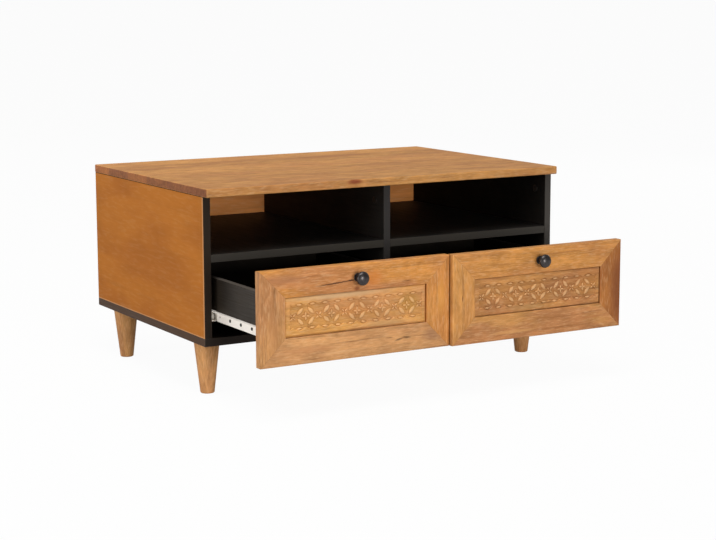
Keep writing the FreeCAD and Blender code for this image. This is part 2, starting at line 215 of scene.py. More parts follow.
def wood_colour(tree, grain, shades, calm=1.0):
    """Golden wood with reddish patches, its tone, and its layers. A calm below 1 quietens the figure."""
    gold, flush, vein = (linear(code) for code in shades)
    paints = {"vein": vein, "pale": linear(PALE_FLECK)}
    turn = add(tree, "MapRange", {"Value": grain["patches"], "From Min": FLUSH_START, "From Max": FLUSH_FULL},
               interpolation_type="SMOOTHSTEP")
    base = add(tree, "Mix", {"Factor": turn, "A": gold, "B": flush}, data_type="RGBA")
    light = add(tree, "MapRange", {"Value": grain["tone"], "From Min": TONE_LOW, "From Max": TONE_HIGH,
                                   "To Min": 1 - TONE_DARK * calm, "To Max": 1 + TONE_PALE * calm})
    colour = add(tree, "Mix", {"Factor": 1.0, "A": base, "B": light}, data_type="RGBA", blend_type="MULTIPLY")
    for part, start, full, share, paint in LAYERS:
        cover = add(tree, "MapRange", {"Value": grain[part], "From Min": start, "From Max": full,
                                       "To Max": share * calm})
        colour = add(tree, "Mix", {"Factor": cover, "A": colour, "B": paints[paint]}, data_type="RGBA")
    return colour


print("layers over the tone:", [layer[0] for layer in LAYERS])

# %% [markdown]
# ## Ends, edges and lacquer
#
# Each board is planed, sanded and coated with satin lacquer. The eye gets darker end grain, which drinks
# more of the coat, paler edges where the coat is rubbed thin, and soft highlights broken by open pores.
# Ends are found by the direction that a face looks in. Edges could be painted, but a bevel node finds them
# on any mesh: there, the rounded normal turns away from the true one.

# %% The coat of a board
AXES = {"X": (1, 0, 0), "Z": (0, 0, 1)}
# How squarely a face looks along the grain where end grain starts and is full, and its usual share.
END_START = 0.75
END_FULL = 0.95
END_COVER = 0.75
# How well the rounded normal agrees with the true one on a flat and on an edge.
FLAT_AGREES = 0.99
EDGE_AGREES = 0.8
EDGE_SAMPLES = 6
LACQUER_IOR = 1.45
LACQUER_SHEEN = 0.3
LACQUER_TONES = (0.3, 0.7)
LACQUER_ROUGH = (0.70, 0.58)
PORE_DENT = -0.6
PIT_STRENGTH = 0.35
PIT_DEPTH = 0.12


def shade_ends(tree, colour, along, dark, share=END_COVER):
    """Multiply the ends of a board by a darker colour."""
    coords = add(tree, "TexCoord")
    facing = add(tree, "VectorMath", {0: coords.outputs["Normal"], 1: AXES[along]}, operation="DOT_PRODUCT")
    facing = add(tree, "Math", {0: facing.outputs["Value"]}, operation="ABSOLUTE")
    ends = add(tree, "MapRange", {"Value": facing, "From Min": END_START, "From Max": END_FULL,
                                  "To Max": share})
    return add(tree, "Mix", {"Factor": ends, "A": colour, "B": dark}, data_type="RGBA",
               blend_type="MULTIPLY")


def edge_mask(tree, radius):
    """1 on the edges of a piece and 0 on its flats, for edges rounded by a radius in mm."""
    rounded = add(tree, "Bevel", {"Radius": radius * MM}, samples=EDGE_SAMPLES)
    true = add(tree, "NewGeometry")
    agree = add(tree, "VectorMath", {0: rounded, 1: true.outputs["Normal"]}, operation="DOT_PRODUCT")
    return add(tree, "MapRange", {"Value": agree.outputs["Value"], "From Min": FLAT_AGREES,
                                  "From Max": EDGE_AGREES})


def lay_coat(tree, height, strength, depth, inputs):
    """The last step of a finish: dents up to a depth in mm, and a shader with the given inputs."""
    dents = add(tree, "Bump", {"Height": height, "Strength": strength, "Distance": depth * MM})
    shader = add(tree, "BsdfPrincipled", {"Normal": dents, **inputs})
    add(tree, "OutputMaterial", {"Surface": shader})


def lacquer(tree, colour, grain, depth=PIT_DEPTH):
    """Satin lacquer over open grain: a little rougher in the dark of the grain, and dented by the pores."""
    roughness = add(tree, "MapRange", {"Value": grain["tone"], "From Min": LACQUER_TONES[0],
                                       "From Max": LACQUER_TONES[1], "To Min": LACQUER_ROUGH[0],
                                       "To Max": LACQUER_ROUGH[1]})
    pits = add(tree, "Math", {0: grain["pores"], 1: PORE_DENT, 2: grain["fibres"]},
               operation="MULTIPLY_ADD")
    lay_coat(tree, pits, PIT_STRENGTH, depth, {"Base Color": colour, "Roughness": roughness,
                                               "IOR": LACQUER_IOR, "Specular IOR Level": LACQUER_SHEEN})


print("lacquer roughness:", LACQUER_ROUGH, "pores:", PIT_DEPTH, "mm deep")

# %% [markdown]
# ## Knots and checks
#
# Mango boards are sold with their knots, checks and stains, and these make a table look like itself. A
# mark is an oval with a soft, slightly ragged edge, and its colour is laid over the grain. It could be
# painted into an image, but an oval of a few numbers is easy to move, and it runs through the board as a
# real knot does.

# %% A mark in the wood
RAGGED_SIZE = 6.0
RAGGED_REACH = 2.2
RAGGED_DETAIL = 3
MARK_CORE = 0.25


def mark(tree, colour, middle, half, turn, shade, share):
    """Lay a soft oval over a colour. Its middle and its half sizes are in mm, and it turns in radians."""
    coords = add(tree, "TexCoord")
    rag = add(tree, "TexNoise", {"Vector": coords.outputs["Object"], "Scale": 1 / (RAGGED_SIZE * MM),
                                 "Detail": RAGGED_DETAIL})
    rag = add(tree, "VectorMath", {0: rag.outputs["Color"], 1: NOISE_MIDDLE}, operation="SUBTRACT")
    reach = [min(size, RAGGED_REACH) * MM for size in half]
    moved = add(tree, "VectorMath", {0: rag, 1: reach, 2: coords.outputs["Object"]}, operation="MULTIPLY_ADD")
    oval = add(tree, "Mapping", {"Vector": moved, "Location": Vector(middle) * MM, "Rotation": turn,
                                 "Scale": [size * MM for size in half]}, vector_type="TEXTURE")
    off = add(tree, "VectorMath", {0: oval}, operation="LENGTH")
    mask = add(tree, "MapRange", {"Value": off.outputs["Value"], "From Min": 1.0, "From Max": MARK_CORE,
                                  "To Max": share}, interpolation_type="SMOOTHSTEP")
    return add(tree, "Mix", {"Factor": mask, "A": colour, "B": linear(shade)}, data_type="RGBA")


print("a mark is ragged by up to", RAGGED_REACH / 2, "mm")

# %% [markdown]
# ## The top
#
# Soft stains lie on the top, and a red knot shows in its front edge. They could be scattered at random, but a
# top is known by its marks, so each is listed in mm. A stain has no end in height, so it goes down through
# the planks as it does in real wood.

# %% Stains of the top
# The half size of a mark in a direction in which it has no end.
FAR = 1e6
# The middle of each stain, to the right and back, its half length and breadth, turn, colour and share.
TOP_STAINS = (
    (-150, 45, 26, 9, 8, "#8f5a34", 0.5),
    (90, 165, 190, 26, 1, "#a06a3e", 0.45),
    (-250, 120, 120, 18, -2, "#a8734a", 0.4),
    (240, -60, 130, 14, 2, "#a9713f", 0.35),
)
EDGE_KNOT = {"middle": (-84, -270, 396), "half": (23, 9, 7.5), "shade": "#7d3417", "share": 0.85}


def top_stains(tree, colour):
    """The stains of the top, and the knot in its front edge."""
    for right, back, half_length, half_breadth, turn, shade, share in TOP_STAINS:
        colour = mark(tree, colour, (right, back, 0), (half_length, half_breadth, FAR),
                      (0, 0, math.radians(turn)), shade, share)
    return mark(tree, colour, turn=(0, 0, 0), **EDGE_KNOT)


print("stains on the top:", len(TOP_STAINS), "and a knot at", EDGE_KNOT["middle"])

# %% [markdown]
# The top is glued up from planks that run the length of the table. The joints are nearly invisible, but
# the tone steps a little from plank to plank, most of all on the ends. Cutting the mesh into planks would
# change the CAD piece, so the planks are drawn instead: the depth is divided by the plank width, and each
# whole number moves the grain to another log and shifts its tone.

# %% Planks of the top
TOP_SEED = 5
PLANK = 96
PLANK_SHIFT = (830, 37, 61)
PLANK_DARK = 0.86
PLANK_PALE = 1.1
GLUE_LINE = 0.8
GLUE_SHARE = 0.3
GLUE_BROWN = "#7a4c26"
TOP_SHADES = ("#c58b4b", "#b97e46", "#8a5630")
END_SHADES = ("#a67c3c", "#c49c58")
END_SHARE = 0.9
RUBBED_WOOD = "#d8ad80"
RUBBED_EDGE = 2.0
RUBBED_SHARE = 0.3


def plank_top():
    """Lacquered mango planks: warm streaks that change at every joint, hairline joints, darker ends."""
    material, tree = start_finish("lacquered_mango_planks")
    place = board_place(tree, "table_top", "X", TOP_SEED)
    coords = add(tree, "TexCoord")
    at = add(tree, "SeparateXYZ", {"Vector": coords.outputs["Object"]})
    planks = add(tree, "Math", {0: at.outputs["Y"], 1: PLANK * MM}, operation="DIVIDE")
    number = add(tree, "Math", {0: planks}, operation="FLOOR")
    log = add(tree, "VectorMath", {0: number, 1: PLANK_SHIFT, 2: place}, operation="MULTIPLY_ADD")
    grain = figure(tree, log)
    pick = add(tree, "TexWhiteNoise", {"W": number}, noise_dimensions="1D")
    step = add(tree, "MapRange", {"Value": pick, "To Min": PLANK_DARK, "To Max": PLANK_PALE})
    colour = add(tree, "Mix", {"Factor": 1.0, "A": wood_colour(tree, grain, TOP_SHADES), "B": step},
                 data_type="RGBA", blend_type="MULTIPLY")
    colour = top_stains(tree, colour)
    within = add(tree, "Math", {0: planks}, operation="FRACT")
    joint = add(tree, "Math", {0: within, 1: GLUE_LINE / PLANK}, operation="LESS_THAN")
    joint = add(tree, "Math", {0: joint, 1: GLUE_SHARE}, operation="MULTIPLY")
    colour = add(tree, "Mix", {"Factor": joint, "A": colour, "B": linear(GLUE_BROWN)}, data_type="RGBA")
    end = add(tree, "Mix", {"Factor": pick, "A": linear(END_SHADES[0]), "B": linear(END_SHADES[1])},
              data_type="RGBA")
    colour = shade_ends(tree, colour, "X", end, END_SHARE)
    rubbed = add(tree, "Math", {0: edge_mask(tree, RUBBED_EDGE), 1: RUBBED_SHARE}, operation="MULTIPLY")
    colour = add(tree, "Mix", {"Factor": rubbed, "A": colour, "B": linear(RUBBED_WOOD)}, data_type="RGBA")
    lacquer(tree, colour, grain)
    return material


dress("table_top", plank_top())
low, high = corners("table_top")
print("planks across the top:", round((high.y - low.y) / PLANK, 1))

# %% [markdown]
# ## The drawer fronts
#
# Each front is a frame of four boards mitred at the corners, so the grain turns with the frame: along the
# rails, and up the stiles. The joint shows as a hairline at 45 degrees. It could be cut as a groove, but a
# good mitre is closed. So it is drawn: it lies where the distance to the side of the front equals the
# distance to its top or foot, which is a short sum of coordinates.

# %% Where the mitres lie
JOINT_LINE = 0.4
DRAWERS = ("left_drawer", "right_drawer")


def front_corners(drawer):
    """The lowest and highest corners of a drawer front, in mm."""
    return corners(drawer + "_bottom_rail")[0], corners(drawer + "_top_rail")[1]


def front_middle(drawer):
    """The middle of a drawer front, in mm."""
    low, high = front_corners(drawer)
    return (low + high) / 2


def joint_line(tree, drawer):
    """1 on the hairlines of the four mitres of a drawer front."""
    low, high = front_corners(drawer)
    coords = add(tree, "TexCoord")
    from_middle = add(tree, "VectorMath", {0: coords.outputs["Object"], 1: front_middle(drawer) * MM},
                      operation="SUBTRACT")
    sizes = add(tree, "VectorMath", {0: from_middle}, operation="ABSOLUTE")
    parts = add(tree, "SeparateXYZ", {"Vector": sizes})
    apart = add(tree, "Math", {0: parts.outputs["X"], 1: parts.outputs["Z"]}, operation="SUBTRACT")
    even = (high.x - low.x - high.z + low.z) / 2 * MM
    return add(tree, "Math", {0: apart, 1: even, 2: JOINT_LINE * MM}, operation="COMPARE")


for drawer in DRAWERS:
    print(drawer, "front middle:", [round(c, 2) for c in front_middle(drawer)])

# %% [markdown]
# The boards of the two fronts differ in tone, and their cracks, knots and flames are what the eye knows them
# by: a long crack beside the left knob, a wavy dark patch in the rail below, a red flame up the last stile.
# Each mark is listed across and up from the middle of its front.

# %% Tones and marks of the frames
FRAME_SHADES = {
    "left_drawer_top_rail": ("#c5843e", "#b67845", "#7a471d"),
    "left_drawer_bottom_rail": ("#c58f5a", "#b98453", "#84562e"),
    "left_drawer_left_stile": ("#bb854f", "#ae7748", "#84562e"),
    "left_drawer_right_stile": ("#c68541", "#bd7c3d", "#8d5622"),
    "right_drawer_top_rail": ("#c08340", "#b47840", "#7d4d1e"),
    "right_drawer_bottom_rail": ("#bd8649", "#ad7445", "#76461f"),
    "right_drawer_left_stile": ("#c38846", "#b77d42", "#845326"),
    "right_drawer_right_stile": ("#a8692f", "#9b5d2b", "#6d3f18"),
}
# Across, up, half length, half breadth, turn in degrees, colour, share.
FRAME_MARKS = {
    "left_drawer_top_rail": (
        (-46, 54.5, 52, 1.9, 4, "#3c1c0b", 0.9),
        (-14, 57, 13, 2.0, 3, "#33180a", 0.9),
        (-2, 41, 8, 5.0, 0, "#7a3f1a", 0.8),
        (105, 46, 16, 1.2, 3, "#5e3518", 0.7),
        (-150, 70, 60, 12, 0, "#a06c48", 0.6),
        (34, 57, 28, 22, 0, "#cc7530", 0.5),
        (-90, 40, 60, 3, 2, "#95602f", 0.5),
    ),
    "left_drawer_bottom_rail": (
        (88, -62, 13, 2.6, 12, "#5b3d22", 0.75),
        (104, -59.5, 13, 2.8, -6, "#5b3d22", 0.75),
        (66, -57, 12, 1.6, -3, "#6d4a2b", 0.55),
        (165, -58, 34, 18, 8, "#94684a", 0.55),
        (-100, -62, 70, 8, 0, "#bd8150", 0.5),
        (10, -44, 80, 3, -1, "#a9764a", 0.5),
        (-40, -72, 60, 4, 1, "#d8a774", 0.5),
    ),
    "left_drawer_left_stile": ((-172, -20, 14, 60, 0, "#ad7647", 0.5),),
    "left_drawer_right_stile": ((180, 10, 12, 50, 0, "#d3913f", 0.5),),
    "right_drawer_top_rail": (
        (60, 72, 90, 2.2, 1, "#945c2a", 0.55),
        (-90, 60, 70, 2.0, -1, "#a56b34", 0.5),
        (120, 52, 26, 10, 0, "#b98142", 0.5),
    ),
    "right_drawer_bottom_rail": (
        (120, -62, 70, 3.5, 2, "#a5683c", 0.6),
        (20, -52, 60, 3.0, -2, "#9c6434", 0.55),
        (-60, -72, 70, 5, 0, "#cf9a5c", 0.5),
        (60, -75, 90, 4, 1, "#8d5a2c", 0.4),
    ),
    "right_drawer_left_stile": ((-177, 2, 1.6, 8, 0, "#5a3316", 0.8),),
    "right_drawer_right_stile": (
        (198, -5, 40, 120, 0, "#78411d", 0.9),
        (168, 20, 3, 50, 4, "#8a5528", 0.4),
    ),
}

print("marks on the frames:", sum(len(marks) for marks in FRAME_MARKS.values()))

# %% [markdown]
# With places, tones and marks at hand, a board of a frame is a short recipe: grain along the board, its
# colour, its marks, the hairlines of the mitres, and lacquer. The eye gets one front made of four boards.

# %% Boards of the frames
FRAME_SEED = 11
JOINT_SHARE = 0.3
JOINT_BROWN = "#5d3717"


def front_marks(tree, colour, drawer, marks):
    """Lay marks on a drawer front."""
    for across, up, half_length, half_breadth, turn, shade, share in marks:
        colour = mark(tree, colour, front_middle(drawer) + Vector((across, 0, up)),
                      (half_length, FAR, half_breadth), (0, math.radians(-turn), 0), shade, share)
    return colour


def frame_board(node_name, seed):
    """Lacquered mango of one frame board: its own tone and marks, and hairlines at the mitres."""
    drawer, member = node_name.rsplit("_", 2)[0], node_name.rsplit("_", 1)[1]
    along = "X" if member == "rail" else "Z"
    material, tree = start_finish("lacquered_mango_" + node_name)
    grain = figure(tree, board_place(tree, node_name, along, seed))
    colour = wood_colour(tree, grain, FRAME_SHADES[node_name])
    colour = front_marks(tree, colour, drawer, FRAME_MARKS[node_name])
    line = add(tree, "Math", {0: joint_line(tree, drawer), 1: JOINT_SHARE}, operation="MULTIPLY")
    colour = add(tree, "Mix", {"Factor": line, "A": colour, "B": linear(JOINT_BROWN)}, data_type="RGBA")
    lacquer(tree, colour, grain)
    return material


for seed, node_name in enumerate(FRAME_SHADES, start=FRAME_SEED):
    dress(node_name, frame_board(node_name, seed))
print("frame boards:", len(FRAME_SHADES))

# %% [markdown]
# ## The legs
#
# The legs are turned from square stock on a lathe, and their grain runs up the leg. They wear the same
# lacquer as the top. All four could share one finish, but each was turned from its own piece of wood, so
# each has its own shades and its own place in the log. Its dark side is left to the light.

# %% Turned legs
LEG_SHADES = {
    "front_left_leg": ("#c68f58", "#b97f4e", "#8a5a30"),
    "front_right_leg": ("#bf8750", "#b27847", "#84552d"),
    "back_left_leg": ("#bc8852", "#ae7849", "#84562e"),
    "back_right_leg": ("#c08a54", "#b37a4b", "#86572f"),
}
FOOT_SHADE = "#c0a890"
LEG_SEED = 31


def turned_leg(node_name, seed):
    """Lacquered mango of one leg: soft grain that runs up the taper, and a darker foot."""
    material, tree = start_finish("lacquered_mango_" + node_name)
    grain = figure(tree, board_place(tree, node_name, "Z", seed))
    colour = wood_colour(tree, grain, LEG_SHADES[node_name])
    colour = shade_ends(tree, colour, "Z", linear(FOOT_SHADE))
    lacquer(tree, colour, grain)
    return material


for seed, leg in enumerate(LEG_SHADES, start=LEG_SEED):
    dress(leg, turned_leg(leg, seed))
print("legs:", len(LEG_SHADES))

# %% [markdown]
# ## The black stain
#
# The shelves, divider, base and drawer boxes are boards under a thin black-brown stain with a matt top coat.
# The eye gets near black with a breath of brown, faint brush lines, and paler edges where handling rubs the
# stain away. Faces that look in a given direction take another colour: on the front edges of the carcass this
# is partly a banding strip that took the stain in another way, and partly painted light where they catch the
# front light.

# %% Brushed black stain
BRUSH_SIZE = (1.4, 60, 1.4)
BRUSH_TONES = (0.3, 0.7)
CLOUD_SIZE = (90, 90, 90)
CLOUD_TONES = (0.35, 0.65)
STAIN_DETAIL = 3
STAIN_ROUGH = (0.5, 0.68)
RUBBED_BLACK = "#5a534b"
RUBBED_RIM = 1.6
# How squarely a face looks to the banded side where the band starts and is full, and its share.
BAND_START = 0.8
BAND_FULL = 0.95
BAND_SHARE = 0.9
FORWARD = (0, -1, 0)


def brushed_black(tree, stain, band=None, banded_side=FORWARD):
    """Colour and roughness of the black stain, with the brush lines for a bump."""
    coords = add(tree, "TexCoord")
    place = add(tree, "VectorMath", {0: coords.outputs["Object"], "Scale": 1 / MM}, operation="SCALE")
    strokes = add(tree, "VectorMath", {0: place, 1: BRUSH_SIZE}, operation="DIVIDE")
    lines = add(tree, "TexNoise", {"Vector": strokes, "Scale": 1, "Detail": STAIN_DETAIL})
    wide = add(tree, "VectorMath", {0: place, 1: CLOUD_SIZE}, operation="DIVIDE")
    clouds = add(tree, "TexNoise", {"Vector": wide, "Scale": 1, "Detail": STAIN_DETAIL})
    thin = add(tree, "MapRange", {"Value": clouds, "From Min": CLOUD_TONES[0], "From Max": CLOUD_TONES[1]})
    colour = add(tree, "Mix", {"Factor": thin, "A": linear(stain[0]), "B": linear(stain[1])},
                 data_type="RGBA")
    # A face that looks to the banded side takes another colour. On the front edges of the carcass this is
    # partly a banding strip and partly painted light.
    if band:
        facing = add(tree, "VectorMath", {0: coords.outputs["Normal"], 1: banded_side},
                     operation="DOT_PRODUCT")
        strip = add(tree, "MapRange", {"Value": facing.outputs["Value"], "From Min": BAND_START,
                                       "From Max": BAND_FULL, "To Max": BAND_SHARE})
        colour = add(tree, "Mix", {"Factor": strip, "A": colour, "B": linear(band)}, data_type="RGBA")
    rubbed = add(tree, "Math", {0: edge_mask(tree, RUBBED_RIM), 1: clouds}, operation="MULTIPLY")
    colour = add(tree, "Mix", {"Factor": rubbed, "A": colour, "B": linear(RUBBED_BLACK)}, data_type="RGBA")
    roughness = add(tree, "MapRange", {"Value": lines, "From Min": BRUSH_TONES[0], "From Max": BRUSH_TONES[1],
                                       "To Min": STAIN_ROUGH[0], "To Max": STAIN_ROUGH[1]})
    return colour, roughness, lines


print("brush lines:", BRUSH_SIZE[0], "mm apart")

# %% [markdown]
# The carcass is the darkest. Its front edges are drawn a little greyer, partly as a banding strip and partly
# as painted light where they catch the front light, the ends of the base show brown, and the up-facing rims
# of the drawer box walls are paler. One recipe serves all, with its own stain, band and banded side.

# %% Black boards
CARCASS_STAIN = ("#151311", "#211e1b")
BASE_STAIN = ("#17110c", "#261b13")
BASE_END = "#43290f"
BOX_STAIN = ("#1d1711", "#2c241b")
BOX_RIM = "#544d46"
CARCASS_BOARDS = ("centre_divider", "left_shelf", "right_shelf")
BOX_WALLS = ("inner_front", "left_side", "right_side", "back")
UPWARD = (0, 0, 1)
LEFTWARD = (-1, 0, 0)
STAIN_IOR = 1.45
STAIN_SHEEN = 0.22
BRUSH_STRENGTH = 0.25
BRUSH_DEPTH = 0.1
# Front edges: partly a banding strip, partly painted light, drawn paler where the front light catches them.
BANDED_AND_LIT_EDGES = {
    "left_side_panel": "#2b231c",
    "right_side_panel": "#484440",
    "centre_divider": "#302d2b",
    "left_shelf": "#35312b",
    "right_shelf": "#35312b",
}


def black_board(name, stain, band=None, banded_side=FORWARD):
    """Matt black stain on a board: near black, faint brush lines, paler edges, and faces coloured by their
    direction: partly bands, partly painted light.
    """
    material, tree = start_finish("matt_black_stained_" + name)
    colour, roughness, lines = brushed_black(tree, stain, band, banded_side)
    lay_coat(tree, lines, BRUSH_STRENGTH, BRUSH_DEPTH, {"Base Color": colour, "Roughness": roughness,
                                                        "IOR": STAIN_IOR, "Specular IOR Level": STAIN_SHEEN})
    return material


for node_name in CARCASS_BOARDS:
    dress(node_name, black_board(node_name, CARCASS_STAIN, BANDED_AND_LIT_EDGES[node_name]))
dress("bottom_panel", black_board("base", BASE_STAIN, BASE_END, LEFTWARD))
box_wall = black_board("box_wall", BOX_STAIN, BOX_RIM, UPWARD)
box_floor = black_board("box_floor", BOX_STAIN)
for drawer in DRAWERS:
    for wall in BOX_WALLS:
        dress(drawer + "_box_" + wall, box_wall)
    dress(drawer + "_box_bottom", box_floor)
print("black boards of the carcass:", len(CARCASS_BOARDS) + 1, "walls of a drawer box:", len(BOX_WALLS))

# %% [markdown]
# ## Brown sides
#
# The side panels are faced outside with a smooth brown veneer with a quiet figure, and are black inside and
# on their edges. A pale line runs along the front and the foot of the face, and a dark line of painted shadow
# runs along the top of the face, standing in for the shade of the gap under the top. Two pieces could share
# the place, but one board with two finishes is simpler: its outer face is told from the rest by its distance
# from the middle of the table.

# %% Veneered sides
VENEER_SHADES = ("#af6b29", "#a46227", "#804a1b")
# A pale line along the front and the foot of the outer face.
VENEER_PALE_EDGE = "#c9976a"
VENEER_CALM = 0.24
VENEER_SCALE = 0.5
VENEER_SHEEN = 0.05
VENEER_ROUGH = 0.72
VENEER_STRENGTH = 0.2
VENEER_DEPTH = 0.1
PALE_LINE = 4.5
PALE_FOOT = 2.5
PALE_SHARE = 0.6
# A painted shadow line along the top of the face, where the side meets the top: its height in mm, and its
# colour.
TOP_SHADOW_LINE = 1.0
TOP_SHADOW_BROWN = "#4a2a12"
FACE_SKIN = 0.1
SIDES = ("left_side_panel", "right_side_panel")
SIDE_SEED = 45


def veneer_place(tree, node_name, along, seed):
    """A veneer has a calmer figure than solid wood, so its grain is read at a smaller scale."""
    return add(tree, "VectorMath", {0: board_place(tree, node_name, along, seed), "Scale": VENEER_SCALE},
               operation="SCALE")


def veneer_face(tree, grain, at, low, high):
    """The colour of the outer face, between the corners of its board in mm: a pale line at front and foot,
    and a painted shadow line under the top.
    """
    colour = wood_colour(tree, grain, VENEER_SHADES, VENEER_CALM)
    front = add(tree, "Math", {0: at.outputs["Y"], 1: (low.y + PALE_LINE) * MM}, operation="LESS_THAN")
    foot = add(tree, "Math", {0: at.outputs["Z"], 1: (low.z + PALE_FOOT) * MM}, operation="LESS_THAN")
    thin = add(tree, "Math", {0: front, 1: foot}, operation="MAXIMUM")
    thin = add(tree, "Math", {0: thin, 1: PALE_SHARE}, operation="MULTIPLY")
    colour = add(tree, "Mix", {"Factor": thin, "A": colour, "B": linear(VENEER_PALE_EDGE)}, data_type="RGBA")
    # Painted shadow: a dark line along the top of the face, standing in for the shade of the gap under the
    # top.
    top_shadow = add(tree, "Math", {0: at.outputs["Z"], 1: (high.z - TOP_SHADOW_LINE) * MM}, operation="GREATER_THAN")
    return add(tree, "Mix", {"Factor": top_shadow, "A": colour, "B": linear(TOP_SHADOW_BROWN)}, data_type="RGBA")


def veneered_side(node_name, seed):
    """Brown veneer on the outer face of a side, calm and smooth, and black stain on the rest of it."""
    low, high = corners(node_name)
    material, tree = start_finish("brown_veneer_" + node_name)
    grain = figure(tree, veneer_place(tree, node_name, "Y", seed))
    coords = add(tree, "TexCoord")
    at = add(tree, "SeparateXYZ", {"Vector": coords.outputs["Object"]})
    face = veneer_face(tree, grain, at, low, high)
    reach = add(tree, "Math", {0: at.outputs["X"]}, operation="ABSOLUTE")
    skin = (max(abs(low.x), abs(high.x)) - FACE_SKIN) * MM
    outside = add(tree, "Math", {0: reach, 1: skin}, operation="GREATER_THAN")
    stain, stain_roughness, lines = brushed_black(tree, CARCASS_STAIN, BANDED_AND_LIT_EDGES[node_name])
    colour = add(tree, "Mix", {"Factor": outside, "A": stain, "B": face}, data_type="RGBA")
    roughness = add(tree, "Mix", {"Factor": outside, "A": stain_roughness, "B": VENEER_ROUGH})
    height = add(tree, "Mix", {"Factor": outside, "A": lines, "B": grain["fibres"]})
    lay_coat(tree, height, VENEER_STRENGTH, VENEER_DEPTH,
             {"Base Color": colour, "Roughness": roughness, "IOR": LACQUER_IOR,
              "Specular IOR Level": VENEER_SHEEN})
    return material


for seed, node_name in enumerate(SIDES, start=SIDE_SEED):
    dress(node_name, veneered_side(node_name, seed))
print("veneered sides:", len(SIDES))

# %% [markdown]
# ## Brown back
#
# The back is one veneered sheet, seen from behind and, through the open bays, from the front. It has the
# lacquer of the solid wood over a quieter figure, so one call of each recipe makes it.

# %% Veneered back
BACK_SHADES = ("#cd8342", "#c1783a", "#93562a")
BACK_CALM = 0.5
BACK_PITS = 0.08
BACK_SEED = 47


def veneered_back():
    """Brown veneer of the back: a quiet figure under satin lacquer."""
    material, tree = start_finish("brown_veneer_back")
    grain = figure(tree, veneer_place(tree, "back_panel", "X", BACK_SEED))
    lacquer(tree, wood_colour(tree, grain, BACK_SHADES, BACK_CALM), grain, BACK_PITS)
    return material


dress("back_panel", veneered_back())
print("back sheet:", [round(c) for c in corners("back_panel")[1] - corners("back_panel")[0]], "mm")

# %% [markdown]
# ## The knobs
#
# A knob has a small foot, a waisted neck and a domed head. The CAD knob is near enough to pull on, but its
# crown is flat, and a dome catches the light in another way. A lathe would be copied by spinning a profile.
# Here a ring starts at the blind end of the screw hole and is extruded along the profile, ring by ring,
# because each step can then be seen: out to the foot, up the neck, round the rim, over the dome.

# %% The profile of a knob
BORE = 2.15
FOOT_RADIUS = 8.0
FOOT_HEIGHT = 2.5
FOOT_EASE = 0.4
NECK_RADIUS = 5.5
COVE = 3.0
HEAD_RADIUS = 13.0
HEAD_START = 16.0
HEAD_RIM = 2.0
DOME_HEIGHT = 8.0
DOME_END = 87
ARC_STEPS = 8


def arc(middle, reach, first, last):
    """Places along an arc, as radius and distance from the seat, in mm. Its angles are in degrees."""
    angles = [math.radians(first + (last - first) * step / ARC_STEPS) for step in range(ARC_STEPS + 1)]
    return [(middle[0] + reach[0] * math.cos(a), middle[1] + reach[1] * math.sin(a)) for a in angles]


def knob_profile():
    """The rings of a knob from the mouth of its screw hole to its tip."""
    rim_start = HEAD_START + HEAD_RIM
    rings = [(BORE, 0), (FOOT_RADIUS, 0)]
    rings += arc((FOOT_RADIUS - FOOT_EASE, FOOT_HEIGHT - FOOT_EASE), (FOOT_EASE, FOOT_EASE), 0, 90)
    rings += [(NECK_RADIUS, FOOT_HEIGHT)]
    rings += arc((NECK_RADIUS + COVE, HEAD_START - COVE), (COVE, COVE), 180, 90)
    rings += arc((HEAD_RADIUS - HEAD_RIM, rim_start), (HEAD_RIM, HEAD_RIM), -90, 0)
    return rings + arc((0, rim_start), (HEAD_RADIUS, DOME_HEIGHT), 0, DOME_END)[1:]


print("rings in a knob:", len(knob_profile()))

# %% [markdown]
# Three moves turn the ring into a solid: select its open border, extrude it and change its size at every
# ring of the profile, and close what is left at the tip. The same moves close the carved panels later, so
# they are small functions. The CAD knob's box says where the foot sits.

# %% Turn a knob
BORE_END = 7.5
KNOB_SIDES = 64
SMOOTH_BELOW = math.radians(40)


def select_border(piece):
    """Edit a piece alone, with the edges of its open border selected."""
    bpy.ops.object.select_all(action="DESELECT")
    piece.select_set(True)
    bpy.context.view_layer.objects.active = piece
    bpy.ops.object.mode_set(mode="EDIT")
    bpy.ops.mesh.select_mode(type="EDGE")
    bpy.ops.mesh.select_all(action="DESELECT")
    bpy.ops.mesh.select_non_manifold(extend=False, use_wire=False, use_multi_face=False,
                                     use_non_contiguous=False, use_verts=False)


def extrude_border(move):
    """Extrude the selected open border and move it, in mm."""
    bpy.ops.mesh.extrude_edges_move(TRANSFORM_OT_translate={"value": Vector(move) * MM})


def close_border():
    """Fill the selected border, turn all faces outwards, and leave edit mode with smooth shading."""
    bpy.ops.mesh.edge_face_add()
    bpy.ops.mesh.select_all(action="SELECT")
    bpy.ops.mesh.normals_make_consistent(inside=False)
    bpy.ops.object.mode_set(mode="OBJECT")
    bpy.ops.object.shade_smooth_by_angle(angle=SMOOTH_BELOW)


def knob_seat(drawer):
    """The place on the drawer front, in mm, where the middle of a knob's foot sits."""
    low, high = corners(drawer + "_knob")
    return Vector(((low.x + high.x) / 2, high.y, (low.z + high.z) / 2))


